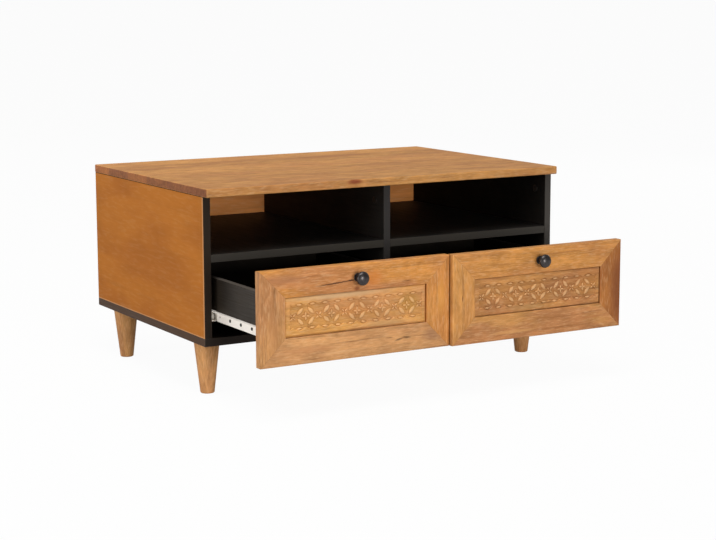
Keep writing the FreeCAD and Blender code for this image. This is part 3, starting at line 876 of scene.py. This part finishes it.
def turned_knob(name, seat):
    """A closed knob, made ring by ring from the blind end of its screw hole to the tip of its dome."""
    bpy.ops.object.select_all(action="DESELECT")
    bpy.ops.mesh.primitive_circle_add(vertices=KNOB_SIDES, radius=BORE * MM, fill_type="NGON",
                                      location=(seat - Vector((0, BORE_END, 0))) * MM,
                                      rotation=(math.pi / 2, 0, 0))
    knob = bpy.context.object
    knob.name = name
    bpy.ops.object.transform_apply(location=True, rotation=True, scale=True)
    select_border(knob)
    radius, out = BORE, BORE_END
    for next_radius, next_out in knob_profile():
        extrude_border((0, out - next_out, 0))
        grow = next_radius / radius
        bpy.ops.transform.resize(value=(grow, 1, grow), center_override=seat * MM)
        radius, out = next_radius, next_out
    close_border()
    return knob


knobs = {"left_drawer": turned_knob("left_drawer_turned_knob", knob_seat("left_drawer"))}
print("a knob is", [round(c, 1) for c in knobs["left_drawer"].dimensions / MM], "mm")

# %% [markdown]
# The metal looks like cast iron, blackened to a dark satin. The eye gets one soft highlight broken by slight
# dimples from the casting, and a paler rim where fingers rub. A plain black would look like plastic. It is
# a metal, so its colour is the colour of its reflections. The second knob is a copy with its own mesh.

# %% Blackened iron
DIMPLE = 2.6
IRON_SHADES = ("#2a2624", "#524e4e")
IRON_RUBBED = "#7a7880"
IRON_RIM = 1.5
IRON_RIM_SHARE = 0.5
IRON_METAL = 0.9
IRON_ROUGH = (0.26, 0.4)
DIMPLE_DETAIL = 3
DIMPLE_STRENGTH = 0.3
DIMPLE_DEPTH = 0.2


def own_copy(pattern, name, move):
    """A copy of a piece with a mesh of its own, moved by a matrix."""
    copy = pattern.copy()
    copy.data = pattern.data.copy()
    copy.name = name
    bpy.context.collection.objects.link(copy)
    copy.data.transform(move)
    return copy


def blackened_iron():
    """Blackened cast iron: dark satin, one soft highlight broken by dimples, and a paler rim."""
    material, tree = start_finish("blackened_cast_iron")
    coords = add(tree, "TexCoord")
    cast = add(tree, "TexNoise", {"Vector": coords.outputs["Object"], "Scale": 1 / (DIMPLE * MM),
                                  "Detail": DIMPLE_DETAIL})
    shade = add(tree, "Mix", {"Factor": cast, "A": linear(IRON_SHADES[0]), "B": linear(IRON_SHADES[1])},
                data_type="RGBA")
    rubbed = add(tree, "Math", {0: edge_mask(tree, IRON_RIM), 1: IRON_RIM_SHARE}, operation="MULTIPLY")
    colour = add(tree, "Mix", {"Factor": rubbed, "A": shade, "B": linear(IRON_RUBBED)}, data_type="RGBA")
    roughness = add(tree, "MapRange", {"Value": cast, "To Min": IRON_ROUGH[0], "To Max": IRON_ROUGH[1]})
    lay_coat(tree, cast, DIMPLE_STRENGTH, DIMPLE_DEPTH, {"Base Color": colour, "Roughness": roughness,
                                                         "Metallic": IRON_METAL})
    return material


to_right = Matrix.Translation((knob_seat("right_drawer") - knob_seat("left_drawer")) * MM)
knobs["right_drawer"] = own_copy(knobs["left_drawer"], "right_drawer_turned_knob", to_right)
iron = blackened_iron()
for drawer, knob in knobs.items():
    knob.data.materials.append(iron)
    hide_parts(drawer + "_knob")
    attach(knob, drawer)
print("knobs:", len(knobs))

# %% [markdown]
# ## Runners and slides
#
# The runners are folded steel under white epoxy powder, baked on. The eye gets a warm white with a faint
# orange peel, and slightly greyer smears where hands and grease have been. A plain white would be quicker,
# but it would look like paper, so a fine noise makes the peel, and a broad one makes the smears.

# %% White runners
ORANGE_PEEL = 1.8
PEEL_STRENGTH = 0.12
PEEL_DEPTH = 0.1
SMEAR = 30
SMEAR_DETAIL = 4
SMEAR_START = 0.45
SMEAR_FULL = 0.75
EPOXY_SHADES = ("#f8f1e8", "#eee4d8")
EPOXY_ROUGH = (0.28, 0.45)
EPOXY_IOR = 1.55
HANDS = ("left", "right")
BAYS = ("left_bay", "right_bay")


def white_epoxy():
    """White epoxy powder: a warm white with a faint orange peel and slightly greyer smears."""
    material, tree = start_finish("white_epoxy_powder_on_steel")
    coords = add(tree, "TexCoord")
    peel = add(tree, "TexNoise", {"Vector": coords.outputs["Object"], "Scale": 1 / (ORANGE_PEEL * MM)})
    smears = add(tree, "TexNoise", {"Vector": coords.outputs["Object"], "Scale": 1 / (SMEAR * MM),
                                    "Detail": SMEAR_DETAIL})
    dirt = add(tree, "MapRange", {"Value": smears, "From Min": SMEAR_START, "From Max": SMEAR_FULL})
    colour = add(tree, "Mix", {"Factor": dirt, "A": linear(EPOXY_SHADES[0]), "B": linear(EPOXY_SHADES[1])},
                 data_type="RGBA")
    roughness = add(tree, "MapRange", {"Value": smears, "To Min": EPOXY_ROUGH[0], "To Max": EPOXY_ROUGH[1]})
    lay_coat(tree, peel, PEEL_STRENGTH, PEEL_DEPTH, {"Base Color": colour, "Roughness": roughness,
                                                     "IOR": EPOXY_IOR})
    return material


epoxy = white_epoxy()
for hand in HANDS:
    for bay, drawer in zip(BAYS, DRAWERS):
        dress(bay + "_" + hand + "_runner", epoxy)
        dress(drawer + "_" + hand + "_slide", epoxy)
print("runners and slides:", len(HANDS) * (len(BAYS) + len(DRAWERS)))

# %% [markdown]
# ## Rollers
#
# The rollers are moulded nylon. The eye gets a milky off-white, cloudy with the flow of the moulding, and
# smooth running faces with a fine grain from the mould. One slow cloud could drive the colour alone, but on
# a real skin tone, gloss and height change together, so it drives all three. Plated steel is like that
# too, so the recipe is written to be used again.

# %% Nylon rollers
SKIN_STRENGTH = 0.1
SKIN_DEPTH = 0.05
FLOW_SIZE = 4
FLOW_DETAIL = 2
NYLON_SHADES = ("#d8d5cd", "#ece9e2")
NYLON_ROUGH = (0.38, 0.55)
NYLON_IOR = 1.53


def clouded_skin(name, cloud_size, detail, shades, rough, more):
    """A smooth skin with soft clouds in its tone, gloss and height, and more inputs of its shader."""
    material, tree = start_finish(name)
    coords = add(tree, "TexCoord")
    clouds = add(tree, "TexNoise", {"Vector": coords.outputs["Object"], "Scale": 1 / (cloud_size * MM),
                                    "Detail": detail})
    colour = add(tree, "Mix", {"Factor": clouds, "A": linear(shades[0]), "B": linear(shades[1])},
                 data_type="RGBA")
    roughness = add(tree, "MapRange", {"Value": clouds, "To Min": rough[0], "To Max": rough[1]})
    lay_coat(tree, clouds, SKIN_STRENGTH, SKIN_DEPTH, {"Base Color": colour, "Roughness": roughness, **more})
    return material


# Milky off-white, cloudy with the flow of the moulding.
nylon = clouded_skin("moulded_white_nylon", FLOW_SIZE, FLOW_DETAIL, NYLON_SHADES, NYLON_ROUGH,
                     {"IOR": NYLON_IOR})
for hand in HANDS:
    for bay, drawer in zip(BAYS, DRAWERS):
        dress(bay + "_" + hand + "_front_roller", nylon)
        dress(drawer + "_" + hand + "_rear_roller", nylon)
print("rollers:", len(HANDS) * (len(BAYS) + len(DRAWERS)))

# %% [markdown]
# ## Small steel
#
# The bolts of the legs, the screws of the knobs and the screws of the runners are zinc plated: a pale grey
# with a soft mottle from the bath. The screws of the slides and the cam locks are black oxide, which gives
# a dull near black. Both are steel with a mottled skin, so the clouded recipe makes both, as metals.

# %% Plated and blackened steel
MOTTLE_DETAIL = 3
ZINC_MOTTLE = 3.0
ZINC_SHADES = ("#a9acb0", "#cfd1d2")
ZINC_ROUGH = (0.25, 0.42)
OXIDE_MOTTLE = 1.5
OXIDE_SHADES = ("#2a2826", "#4a4742")
OXIDE_ROUGH = (0.35, 0.55)
OXIDE_METAL = 0.8

# Pale grey, bright, with a soft mottle.
zinc = clouded_skin("zinc_plated_steel", ZINC_MOTTLE, MOTTLE_DETAIL, ZINC_SHADES, ZINC_ROUGH,
                    {"Metallic": 1.0})
# Dull near black with a fine mottle.
oxide = clouded_skin("black_oxide_steel", OXIDE_MOTTLE, MOTTLE_DETAIL, OXIDE_SHADES, OXIDE_ROUGH,
                     {"Metallic": OXIDE_METAL})
for node_name in [leg + "_bolt" for leg in LEG_SHADES] + [drawer + "_knob_screw" for drawer in DRAWERS]:
    dress(node_name, zinc)
print("bolts and screws in the frame:", len(LEG_SHADES) + len(DRAWERS))

# %% [markdown]
# ## The carved panels
#
# A row of five rings runs along each panel. A ring is four leaves round a small flower, another small
# flower stands between the rings, and short leaves follow the border. Single leaves could be modelled and
# sunk into a board, but carved wood is one skin, so a fine grid is pushed back by a formula of the place
# on the panel. The formula starts from a list of leaves, and a seeded hand makes no two of them alike.

# %% Where the leaves stand
RING_PITCH = 53.0
RINGS = 5
RING_LEAF = (10.9, 9.2)
LEAF_TURN = math.radians(47)
LEAF_HALF = (9.4, 3.7)
BUD_HALF = (4.3, 1.9)
BUD_OUT = 4.0
STAR_HALF = (4.2, 1.4)
STAR_OUT = 4.3
ARCH_HALF = (6.4, 2.1)
ARCH_AT = 21.6
HAND_SHIFT = 0.35
HAND_TURN = math.radians(5)
HAND_SIZE = (0.92, 1.06)
PETALS = 4
CARVER_SEEDS = {"left_drawer": 3, "right_drawer": 8}


def leaf_list(seed):
    """Every leaf of one panel: place across and up from its middle, turn, and half sizes, in mm."""
    hand = random.Random(seed)
    leaves = []

    def cut(across, up, turn, half):
        """Add one leaf, a little off in size, place and turn, as a hand would cut it."""
        size = hand.uniform(*HAND_SIZE)
        across += hand.uniform(-HAND_SHIFT, HAND_SHIFT)
        up += hand.uniform(-HAND_SHIFT, HAND_SHIFT)
        turn += hand.uniform(-HAND_TURN, HAND_TURN)
        leaves.append((across, up, turn, half[0] * size, half[1] * size))

    def flower(middle, first, out, half):
        """Add the petals round a middle, the first of them at an angle."""
        for petal in range(PETALS):
            angle = first + petal * math.tau / PETALS
            cut(middle + out * math.cos(angle), out * math.sin(angle), angle, half)

    for ring in range(RINGS):
        middle = (ring - (RINGS - 1) / 2) * RING_PITCH
        for side in (-1, 1):
            for level in (-1, 1):
                turn = -side * level * LEAF_TURN
                cut(middle + side * RING_LEAF[0], level * RING_LEAF[1], turn, LEAF_HALF)
                cut(middle + side * RING_PITCH / 4, level * ARCH_AT, 0, ARCH_HALF)
        flower(middle, 0, BUD_OUT, BUD_HALF)
    for gap in range(RINGS + 1):
        flower((gap - RINGS / 2) * RING_PITCH, math.pi / 4, STAR_OUT, STAR_HALF)
    return leaves


print("leaves on a panel:", len(leaf_list(CARVER_SEEDS["left_drawer"])))

# %% [markdown]
# The carver cuts the ground away, so leaves and flowers stay standing, and leaves a plain border with a
# scalloped inner edge. Round each leaf the gouge goes a little deeper, and the ground keeps faint chisel
# marks. For every place on a panel, the depth is worked out for all grid points at once.

# %% The depth of the carving
GROUND_DEPTH = 2.1
CREST_DEPTH = 0.15
MOAT = 1.6
MOAT_DEPTH = 0.5
WALL_RUN = 1.5
ARCH_LOW = 20.0
ARCH_RISE = 5.0
CARVED_HALF = 139.0
CHISEL_DEPTH = 0.14
CHISEL_RUN = 3.7
CHISEL_LEAN = (0.6, 0.3)
MOAT_FADE = 3
PROBES = 400
TINY = 1e-6


def ground(across, up):
    """The depth of the bare ground behind the face, and how far a place is from the border, from 0 to 1."""
    arch = ARCH_LOW + ARCH_RISE * np.abs(np.sin(math.tau * across / RING_PITCH))
    inside = np.minimum(arch - np.abs(up), CARVED_HALF - np.abs(across))
    wall = np.clip(inside / WALL_RUN, 0, 1)
    along = across + CHISEL_LEAN[0] * up
    aside = up - CHISEL_LEAN[1] * across
    chisel = np.sin(math.tau * along / CHISEL_RUN) * np.cos(math.tau * aside / CHISEL_RUN)
    slope = wall * wall * (3 - 2 * wall)
    return slope * (GROUND_DEPTH + CHISEL_DEPTH * chisel), wall


def carving(across, up, seed):
    """For places in mm from the middle of a panel: depth behind its face, and how near to a leaf's crest."""
    depth, wall = ground(across, up)
    crest = np.zeros_like(depth)
    moat = np.zeros_like(depth)
    for leaf_across, leaf_up, turn, half_length, half_breadth in leaf_list(seed):
        along = (across - leaf_across) * math.cos(turn) + (up - leaf_up) * math.sin(turn)
        aside = (up - leaf_up) * math.cos(turn) - (across - leaf_across) * math.sin(turn)
        breadth = half_breadth * np.clip(1 - (along / half_length) ** 2, 0, 1)
        round_over = np.sqrt(np.clip(1 - (aside / np.maximum(breadth, TINY)) ** 2, 0, 1))
        bulge = round_over * np.sqrt(breadth / half_breadth)
        top = GROUND_DEPTH - (GROUND_DEPTH - CREST_DEPTH) * bulge
        depth = np.where(bulge > 0, np.minimum(depth, top), depth)
        crest = np.maximum(crest, bulge)
        around = (half_breadth + MOAT) * np.clip(1 - (along / (half_length + MOAT)) ** 2, 0, 1)
        moat = np.maximum(moat, np.clip(1 - (aside / np.maximum(around, TINY)) ** 2, 0, 1))
    return depth + MOAT_DEPTH * wall * np.sqrt(moat) * (1 - np.clip(MOAT_FADE * crest, 0, 1)), crest


probe = np.linspace(-CARVED_HALF, CARVED_HALF, PROBES)
cuts = carving(probe, np.zeros(PROBES), CARVER_SEEDS["left_drawer"])[0]
print("deepest cut on the middle line:", round(float(cuts.max()), 2), "mm")

# %% [markdown]
# The grid is added as a primitive at the size and place of the panel's raised field, and its points are
# pushed back. The face is also rounded towards its edges, where the maker sanded it: the left panel is a
# softer cushion than the right one. As in the photograph, they sit a little closer to the frame at their
# left and top. Depth and crest are stored on the mesh, where the finish can read them.

# %% A carved field
GRID_STEP = 0.55
TONGUE_REACH = 9.0
LEFT_FIT = 1.8
TOP_FIT = 1.7
EDGE_ROUND = {"left_drawer": 3.4, "right_drawer": 1.6}


def edge_drop(inward, radius):
    """How far the face falls back towards a rounded edge, by the distance from the edge."""
    rim = np.clip(inward, 0, radius)
    return radius - np.sqrt(radius ** 2 - (radius - rim) ** 2)


def field_corners(drawer):
    """The corners of the raised field in mm: the panel without its tongue, but nearer to the frame."""
    low, high = corners(drawer + "_carved_panel")
    reach = Vector((TONGUE_REACH, 0, TONGUE_REACH))
    return low + reach - Vector((LEFT_FIT, 0, 0)), high - reach + Vector((0, 0, TOP_FIT))


def carved_field(drawer, seed):
    """The front skin of a carved panel, with depth and crest stored at its points."""
    low, high = field_corners(drawer)
    middle = (low + high) / 2
    size = high - low
    bpy.ops.object.select_all(action="DESELECT")
    bpy.ops.mesh.primitive_grid_add(x_subdivisions=round(size.x / GRID_STEP),
                                    y_subdivisions=round(size.z / GRID_STEP), size=1,
                                    location=(middle.x * MM, low.y * MM, middle.z * MM),
                                    rotation=(math.pi / 2, 0, 0))
    panel = bpy.context.object
    panel.name = drawer + "_carving"
    panel.scale = (size.x * MM, size.z * MM, 1)
    bpy.ops.object.transform_apply(location=True, rotation=True, scale=True)
    points = np.empty(len(panel.data.vertices) * 3)
    panel.data.vertices.foreach_get("co", points)
    points = points.reshape(-1, 3)
    places = points / MM - np.array(middle)
    from_front = points / MM - np.array(front_middle(drawer))
    depth, crest = carving(from_front[:, 0], from_front[:, 2], seed)
    inward = np.minimum(size.x / 2 - np.abs(places[:, 0]), size.z / 2 - np.abs(places[:, 2]))
    points[:, 1] = (low.y + depth + edge_drop(inward, EDGE_ROUND[drawer])) * MM
    panel.data.vertices.foreach_set("co", points.ravel())
    for name, values in (("carved_depth", depth / (GROUND_DEPTH + MOAT_DEPTH)), ("leaf_crest", crest)):
        stored = panel.data.attributes.new(name, "FLOAT", "POINT")
        stored.data.foreach_set("value", np.clip(values, 0, 1))
    return panel


panels = {drawer: carved_field(drawer, seed) for drawer, seed in CARVER_SEEDS.items()}
print("carved fields:", [(panel.name, len(panel.data.polygons)) for panel in panels.values()])

# %% [markdown]
# The field is still a thin skin. Its open border is extruded back to the tongue, outwards into the grooves
# of the frame, back again, and filled, which gives a closed board with the tongue of the real panel. The
# finished board then takes the place of the plain CAD panel and rides on its drawer.

# %% From skin to board
TONGUE = 6.7


def close_board(drawer, panel):
    """Make a closed board with a tongue of a carved skin, and give it the place of the CAD panel."""
    low, high = corners(drawer + "_carved_panel")
    field_low, field_high = field_corners(drawer)
    middle = (field_low + field_high) / 2
    size = field_high - field_low
    tongue_front = high.y - TONGUE
    select_border(panel)
    extrude_border((0, tongue_front - low.y - EDGE_ROUND[drawer], 0))
    extrude_border((0, 0, 0))
    bpy.ops.transform.resize(value=((high.x - low.x) / size.x, 1, (high.z - low.z) / size.z),
                             center_override=Vector((middle.x, tongue_front, middle.z)) * MM)
    to_panel = (low + high) / 2 - middle
    extrude_border((to_panel.x, TONGUE, to_panel.z))
    close_border()
    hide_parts(drawer + "_carved_panel")
    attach(panel, drawer)


for drawer, panel in panels.items():
    close_board(drawer, panel)
    print(panel.name, "is", [round(c, 1) for c in panel.dimensions / MM], "mm")

# %% [markdown]
# ## The finish of the carving
#
# The panels are mango wood under the same lacquer. The hollows and the moats round the leaves are drawn
# darker, partly as finish lying thicker there and partly as painted shade. The crests of the leaves are drawn
# paler, partly as rubbed wear and partly as painted highlight. This could be guessed from the shape of the
# mesh, but the depth was stored as it was cut, so the finish reads it back.

# %% Carved and rubbed wood
CARVED_SHADES = {
    "left_drawer": ("#cc924c", "#c48a53", "#8b5929"),
    "right_drawer": ("#b57d42", "#a87041", "#764820"),
}
# Across, up, half length, half breadth, turn in degrees, colour, share.
CARVED_MARKS = {
    "left_drawer": (
        (-40, 33, 150, 9, 0, "#cdab80", 0.6),
        (112, 6, 34, 26, 0, "#b98a3c", 0.55),
        (-8, 4, 46, 20, 0, "#d18d4d", 0.45),
        (60, -28, 60, 8, 0, "#b8905c", 0.5),
    ),
    "right_drawer": (
        (118, 18, 44, 22, 0, "#b5783c", 0.45),
        (-30, -27, 60, 9, 0, "#a8804f", 0.5),
    ),
}
# Darker hollows and moats: pooled finish and painted shade. Paler crests: rubbed wear and painted highlight.
# What the attributes give: where a tone starts, where it is full, its share, its colour.
POOLED_SHADE_AND_RUBBED_HIGHLIGHT = {
    "carved_depth": (0.72, 1.0, 0.34, "#7a4a22"),
    "leaf_crest": (0.25, 0.95, 0.5, "#e2b583"),
}
PANEL_SEED = 61


def carved_wood(drawer, seed):
    """Lacquered mango of a carved panel: pooled finish and painted shade in the hollows, wear and painted
    highlight on the crests.
    """
    material, tree = start_finish("lacquered_mango_carving_" + drawer)
    grain = figure(tree, board_place(tree, drawer + "_carved_panel", "X", seed))
    colour = wood_colour(tree, grain, CARVED_SHADES[drawer])
    colour = front_marks(tree, colour, drawer, CARVED_MARKS[drawer])
    for name, (start, full, share, shade) in POOLED_SHADE_AND_RUBBED_HIGHLIGHT.items():
        stored = add(tree, "Attribute", attribute_name=name)
        cover = add(tree, "MapRange", {"Value": stored.outputs["Fac"], "From Min": start, "From Max": full,
                                       "To Max": share})
        colour = add(tree, "Mix", {"Factor": cover, "A": colour, "B": linear(shade)}, data_type="RGBA")
    lacquer(tree, colour, grain)
    return material


for seed, (drawer, panel) in enumerate(panels.items(), start=PANEL_SEED):
    panel.data.materials.append(carved_wood(drawer, seed))
print("carvings finished:", len(panels))

# %% [markdown]
# ## Screws and cam locks
#
# Small pan-head screws hold the runners to the carcass and the slides to the drawer boxes, and flat cam
# locks near the top of the upright boards pull them up against the top. All have a cross recess. A head
# starts as a cylinder, its rim is beveled, and two crossed blades are cut out of it. One head is modelled
# at each size, and the copies get meshes of their own, turned and moved to their places.

# %% A head with a cross recess
BLADE_SHARE = 0.24
BLADE_REACH = 0.62
BLADE_DEPTH = 1.1
RIM_SHARE = 0.6
RIM_STEPS = 4
HEAD_SIDES = 40
HEAD_SMOOTH = math.radians(35)
FACES_UP = 0.9
# Radius and height in mm.
SCREW_HEAD = (3.0, 1.4)
CAM_HEAD = (7.5, 0.4)


def cross_head(name, radius, height):
    """A head that stands on the floor at the origin, in mm, with its recess on top."""
    bpy.ops.object.select_all(action="DESELECT")
    bpy.ops.mesh.primitive_cylinder_add(vertices=HEAD_SIDES, radius=radius * MM, depth=height * MM,
                                        location=(0, 0, height * MM / 2))
    head = bpy.context.object
    head.name = name
    bpy.ops.object.transform_apply(location=True)
    bpy.ops.object.mode_set(mode="EDIT")
    bpy.ops.mesh.select_mode(type="FACE")
    bpy.ops.mesh.select_all(action="DESELECT")
    bpy.ops.object.mode_set(mode="OBJECT")
    for face in head.data.polygons:
        face.select = face.normal.z > FACES_UP
    bpy.ops.object.mode_set(mode="EDIT")
    bpy.ops.mesh.bevel(offset=height * RIM_SHARE * MM, segments=RIM_STEPS, affect="EDGES")
    bpy.ops.object.mode_set(mode="OBJECT")
    for turn in (0, math.pi / 2):
        bpy.ops.mesh.primitive_cube_add(size=1, location=(0, 0, height * MM), rotation=(0, 0, turn))
        blade = bpy.context.object
        blade.scale = Vector((2 * BLADE_REACH * radius, BLADE_SHARE * radius, height * BLADE_DEPTH)) * MM
        bpy.ops.object.transform_apply(location=True, rotation=True, scale=True)
        cut = head.modifiers.new("recess", "BOOLEAN")
        cut.operation = "DIFFERENCE"
        cut.object = blade
        bpy.context.view_layer.objects.active = head
        bpy.ops.object.modifier_apply(modifier=cut.name)
        bpy.data.objects.remove(blade)
    bpy.ops.object.select_all(action="DESELECT")
    head.select_set(True)
    bpy.ops.object.shade_smooth_by_angle(angle=HEAD_SMOOTH)
    return head


screw = cross_head("screw_pattern", *SCREW_HEAD)
cam = cross_head("cam_pattern", *CAM_HEAD)
print("faces of a screw head:", len(screw.data.polygons), "and of a cam:", len(cam.data.polygons))

# %% [markdown]
# Every screw sits on a wall that faces left or right, on the line of the holes in the runners. Each head
# is put on the face of its board or strip, and rides on the body that carries it. The patterns are
# removed at the end, since only the copies belong to the table.

# %% Set the screws and cams
# Where the screws stand along the table and along a drawer box, and how high, in mm.
RUNNER_SCREWS = (-195, -24, 147)
SLIDE_SCREWS = (65, 109, 153, 285)
SCREW_LINE = 157.2
WEB = 1.0
# The boards with cams, and the side that each cam looks to along X.
CAM_BOARDS = {"left_side_panel": 1, "centre_divider": -1, "right_side_panel": -1}
CAM_ROWS = (-216, 200)
CAM_LINE = 350
HEAD_TURN = math.pi / 5
heads = []


def set_head(pattern, name, place, outward, body, finish):
    """A copy of a head on a wall that faces along X, with its place in mm, riding on a body."""
    turn = Matrix.Rotation(math.pi / 2 * outward, 4, "Y") @ Matrix.Rotation(HEAD_TURN, 4, "Z")
    copy = own_copy(pattern, name, Matrix.Translation(Vector(place) * MM) @ turn)
    copy.data.materials.append(finish)
    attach(copy, body)
    heads.append(copy)


for bay, drawer in zip(BAYS, DRAWERS):
    for hand, inward in zip(HANDS, (1, -1)):
        low, high = corners(bay + "_" + hand + "_runner")
        web = (low.x if inward > 0 else high.x) + inward * WEB
        for count, along in enumerate(RUNNER_SCREWS, start=1):
            name = f"{bay}_{hand}_runner_screw_{count}"
            set_head(screw, name, (web, along, SCREW_LINE), inward, "carcass", zinc)
        low, high = corners(drawer + "_box_" + hand + "_side")
        web = (low.x if inward > 0 else high.x) - inward * WEB
        for count, along in enumerate(SLIDE_SCREWS, start=1):
            name = f"{drawer}_{hand}_slide_screw_{count}"
            set_head(screw, name, (web, low.y + along, SCREW_LINE), -inward, drawer, oxide)
for board, outward in CAM_BOARDS.items():
    low, high = corners(board)
    face = high.x if outward > 0 else low.x
    for count, along in enumerate(CAM_ROWS, start=1):
        set_head(cam, f"{board}_cam_{count}", (face, along, CAM_LINE), outward, "carcass", oxide)
for pattern in (screw, cam):
    bpy.data.objects.remove(pattern)
print("screws and cams:", len(heads))

# %% [markdown]
# ## The studio floor
#
# The table stands on plain white paper. It has to look white without throwing more light on the table, so
# part of what the camera, metal and glass see of it glows, at a strength of 1, which is white. The rest is
# matt paper with a fine tooth, and still takes the shadow. The tooth is drawn far coarser than real paper's.

# %% Paper floor
FLOOR_SIZE = 240
PAPER_GLOW = 0.955
PAPER_TOOTH = 2
TOOTH_DETAIL = 2
PAPER_SHADES = ("#d2d2d1", "#d8d8d7")
PAPER_ROUGH = 0.5
WHITE = "#ffffff"


def seen_directly(tree):
    """1 for rays from the camera, or off metal and through glass."""
    path = add(tree, "LightPath")
    seen = add(tree, "Math", {0: path.outputs["Is Camera Ray"], 1: path.outputs["Is Glossy Ray"]},
               operation="ADD")
    return add(tree, "Math", {0: seen, 1: path.outputs["Is Transmission Ray"]}, operation="ADD",
               use_clamp=True)


def studio_paper():
    """White paper with a fine tooth: it looks white, and still takes the shadow."""
    material, tree = start_finish("white_studio_paper")
    coords = add(tree, "TexCoord")
    tooth = add(tree, "TexNoise", {"Vector": coords.outputs["Object"], "Scale": 1 / (PAPER_TOOTH * MM),
                                   "Detail": TOOTH_DETAIL})
    colour = add(tree, "Mix", {"Factor": tooth, "A": linear(PAPER_SHADES[0]), "B": linear(PAPER_SHADES[1])},
                 data_type="RGBA")
    matt = add(tree, "BsdfDiffuse", {"Color": colour, "Roughness": PAPER_ROUGH})
    glow = add(tree, "Emission", {"Color": linear(WHITE), "Strength": 1})
    share = add(tree, "Math", {0: seen_directly(tree), 1: PAPER_GLOW}, operation="MULTIPLY")
    mixed = add(tree, "MixShader", {0: share, 1: matt, 2: glow})
    add(tree, "OutputMaterial", {"Surface": mixed})
    return material


bpy.ops.object.select_all(action="DESELECT")
bpy.ops.mesh.primitive_plane_add(size=FLOOR_SIZE)
floor = bpy.context.object
floor.name = "studio_floor"
floor.data.materials.append(studio_paper())
print("floor:", FLOOR_SIZE, "m wide")

# %% [markdown]
# ## The light
#
# Soft light comes from all round: a plain white world at a low level, a broad lamp above and in front, and
# a far low lamp that reaches into the open bays as far as the back. Weak lamps at the left, right and back
# keep the other sides readable. The level is plain: a colour renders about as it was written.

# %% World and lamps
AMBIENT = 0.36
LAMPS = {
    "key": {"place": (-0.9, -1.2, 3.8), "size": 2.4, "power": 107},
    "front_fill": {"place": (-0.4, -8.0, 0.8), "size": 1.6, "power": 255},
    "left_fill": {"place": (-3.8, -0.9, 0.8), "size": 1.4, "power": 44},
    "right_fill": {"place": (4.0, 1.6, 1.2), "size": 1.6, "power": 30},
    "back_fill": {"place": (-2.0, 4.2, 1.3), "size": 1.6, "power": 36},
}
AIM = Vector((0, 0, 0.25))

world = bpy.data.worlds.new("studio")
bpy.context.scene.world = world
world.use_nodes = True
world.node_tree.nodes.clear()
sky = add(world.node_tree, "Background", {"Color": linear(WHITE), "Strength": AMBIENT})
add(world.node_tree, "OutputWorld", {"Surface": sky})
for name, lamp in LAMPS.items():
    bpy.ops.object.light_add(type="AREA", location=lamp["place"])
    made = bpy.context.object
    made.name = name
    made.data.size = lamp["size"]
    made.data.energy = lamp["power"]
    made.rotation_euler = (AIM - Vector(lamp["place"])).to_track_quat("-Z", "Y").to_euler()
print("lamps:", list(LAMPS), "ambient level:", AMBIENT)

# %% [markdown]
# ## The camera
#
# The photograph was taken from the front left with a long lens. Its place and angles were found by fitting
# the edges of the table, and the picture is centred on the lens axis, so no shift is needed.

# %% Camera
CAMERA_PLACE = (-1.77199, -3.14289, 0.76535)
CAMERA_YAW = math.radians(-30.528)
CAMERA_PITCH = math.radians(9.233)
CAMERA_ROLL = math.radians(-0.136)
FOCAL_PIXELS = 1739.0
PICTURE_WIDTH = 716
SENSOR = 36.0

bpy.ops.object.camera_add()
camera = bpy.context.object
camera.data.sensor_fit = "HORIZONTAL"
camera.data.sensor_width = SENSOR
camera.data.lens = FOCAL_PIXELS / PICTURE_WIDTH * SENSOR
turn = (Matrix.Rotation(CAMERA_YAW, 4, "Z") @ Matrix.Rotation(math.pi / 2 - CAMERA_PITCH, 4, "X")
        @ Matrix.Rotation(CAMERA_ROLL, 4, "Z"))
camera.matrix_world = Matrix.Translation(CAMERA_PLACE) @ turn
scene = bpy.context.scene
scene.camera = camera
scene.view_settings.view_transform = "Standard"
print("lens:", round(camera.data.lens, 1), "mm")
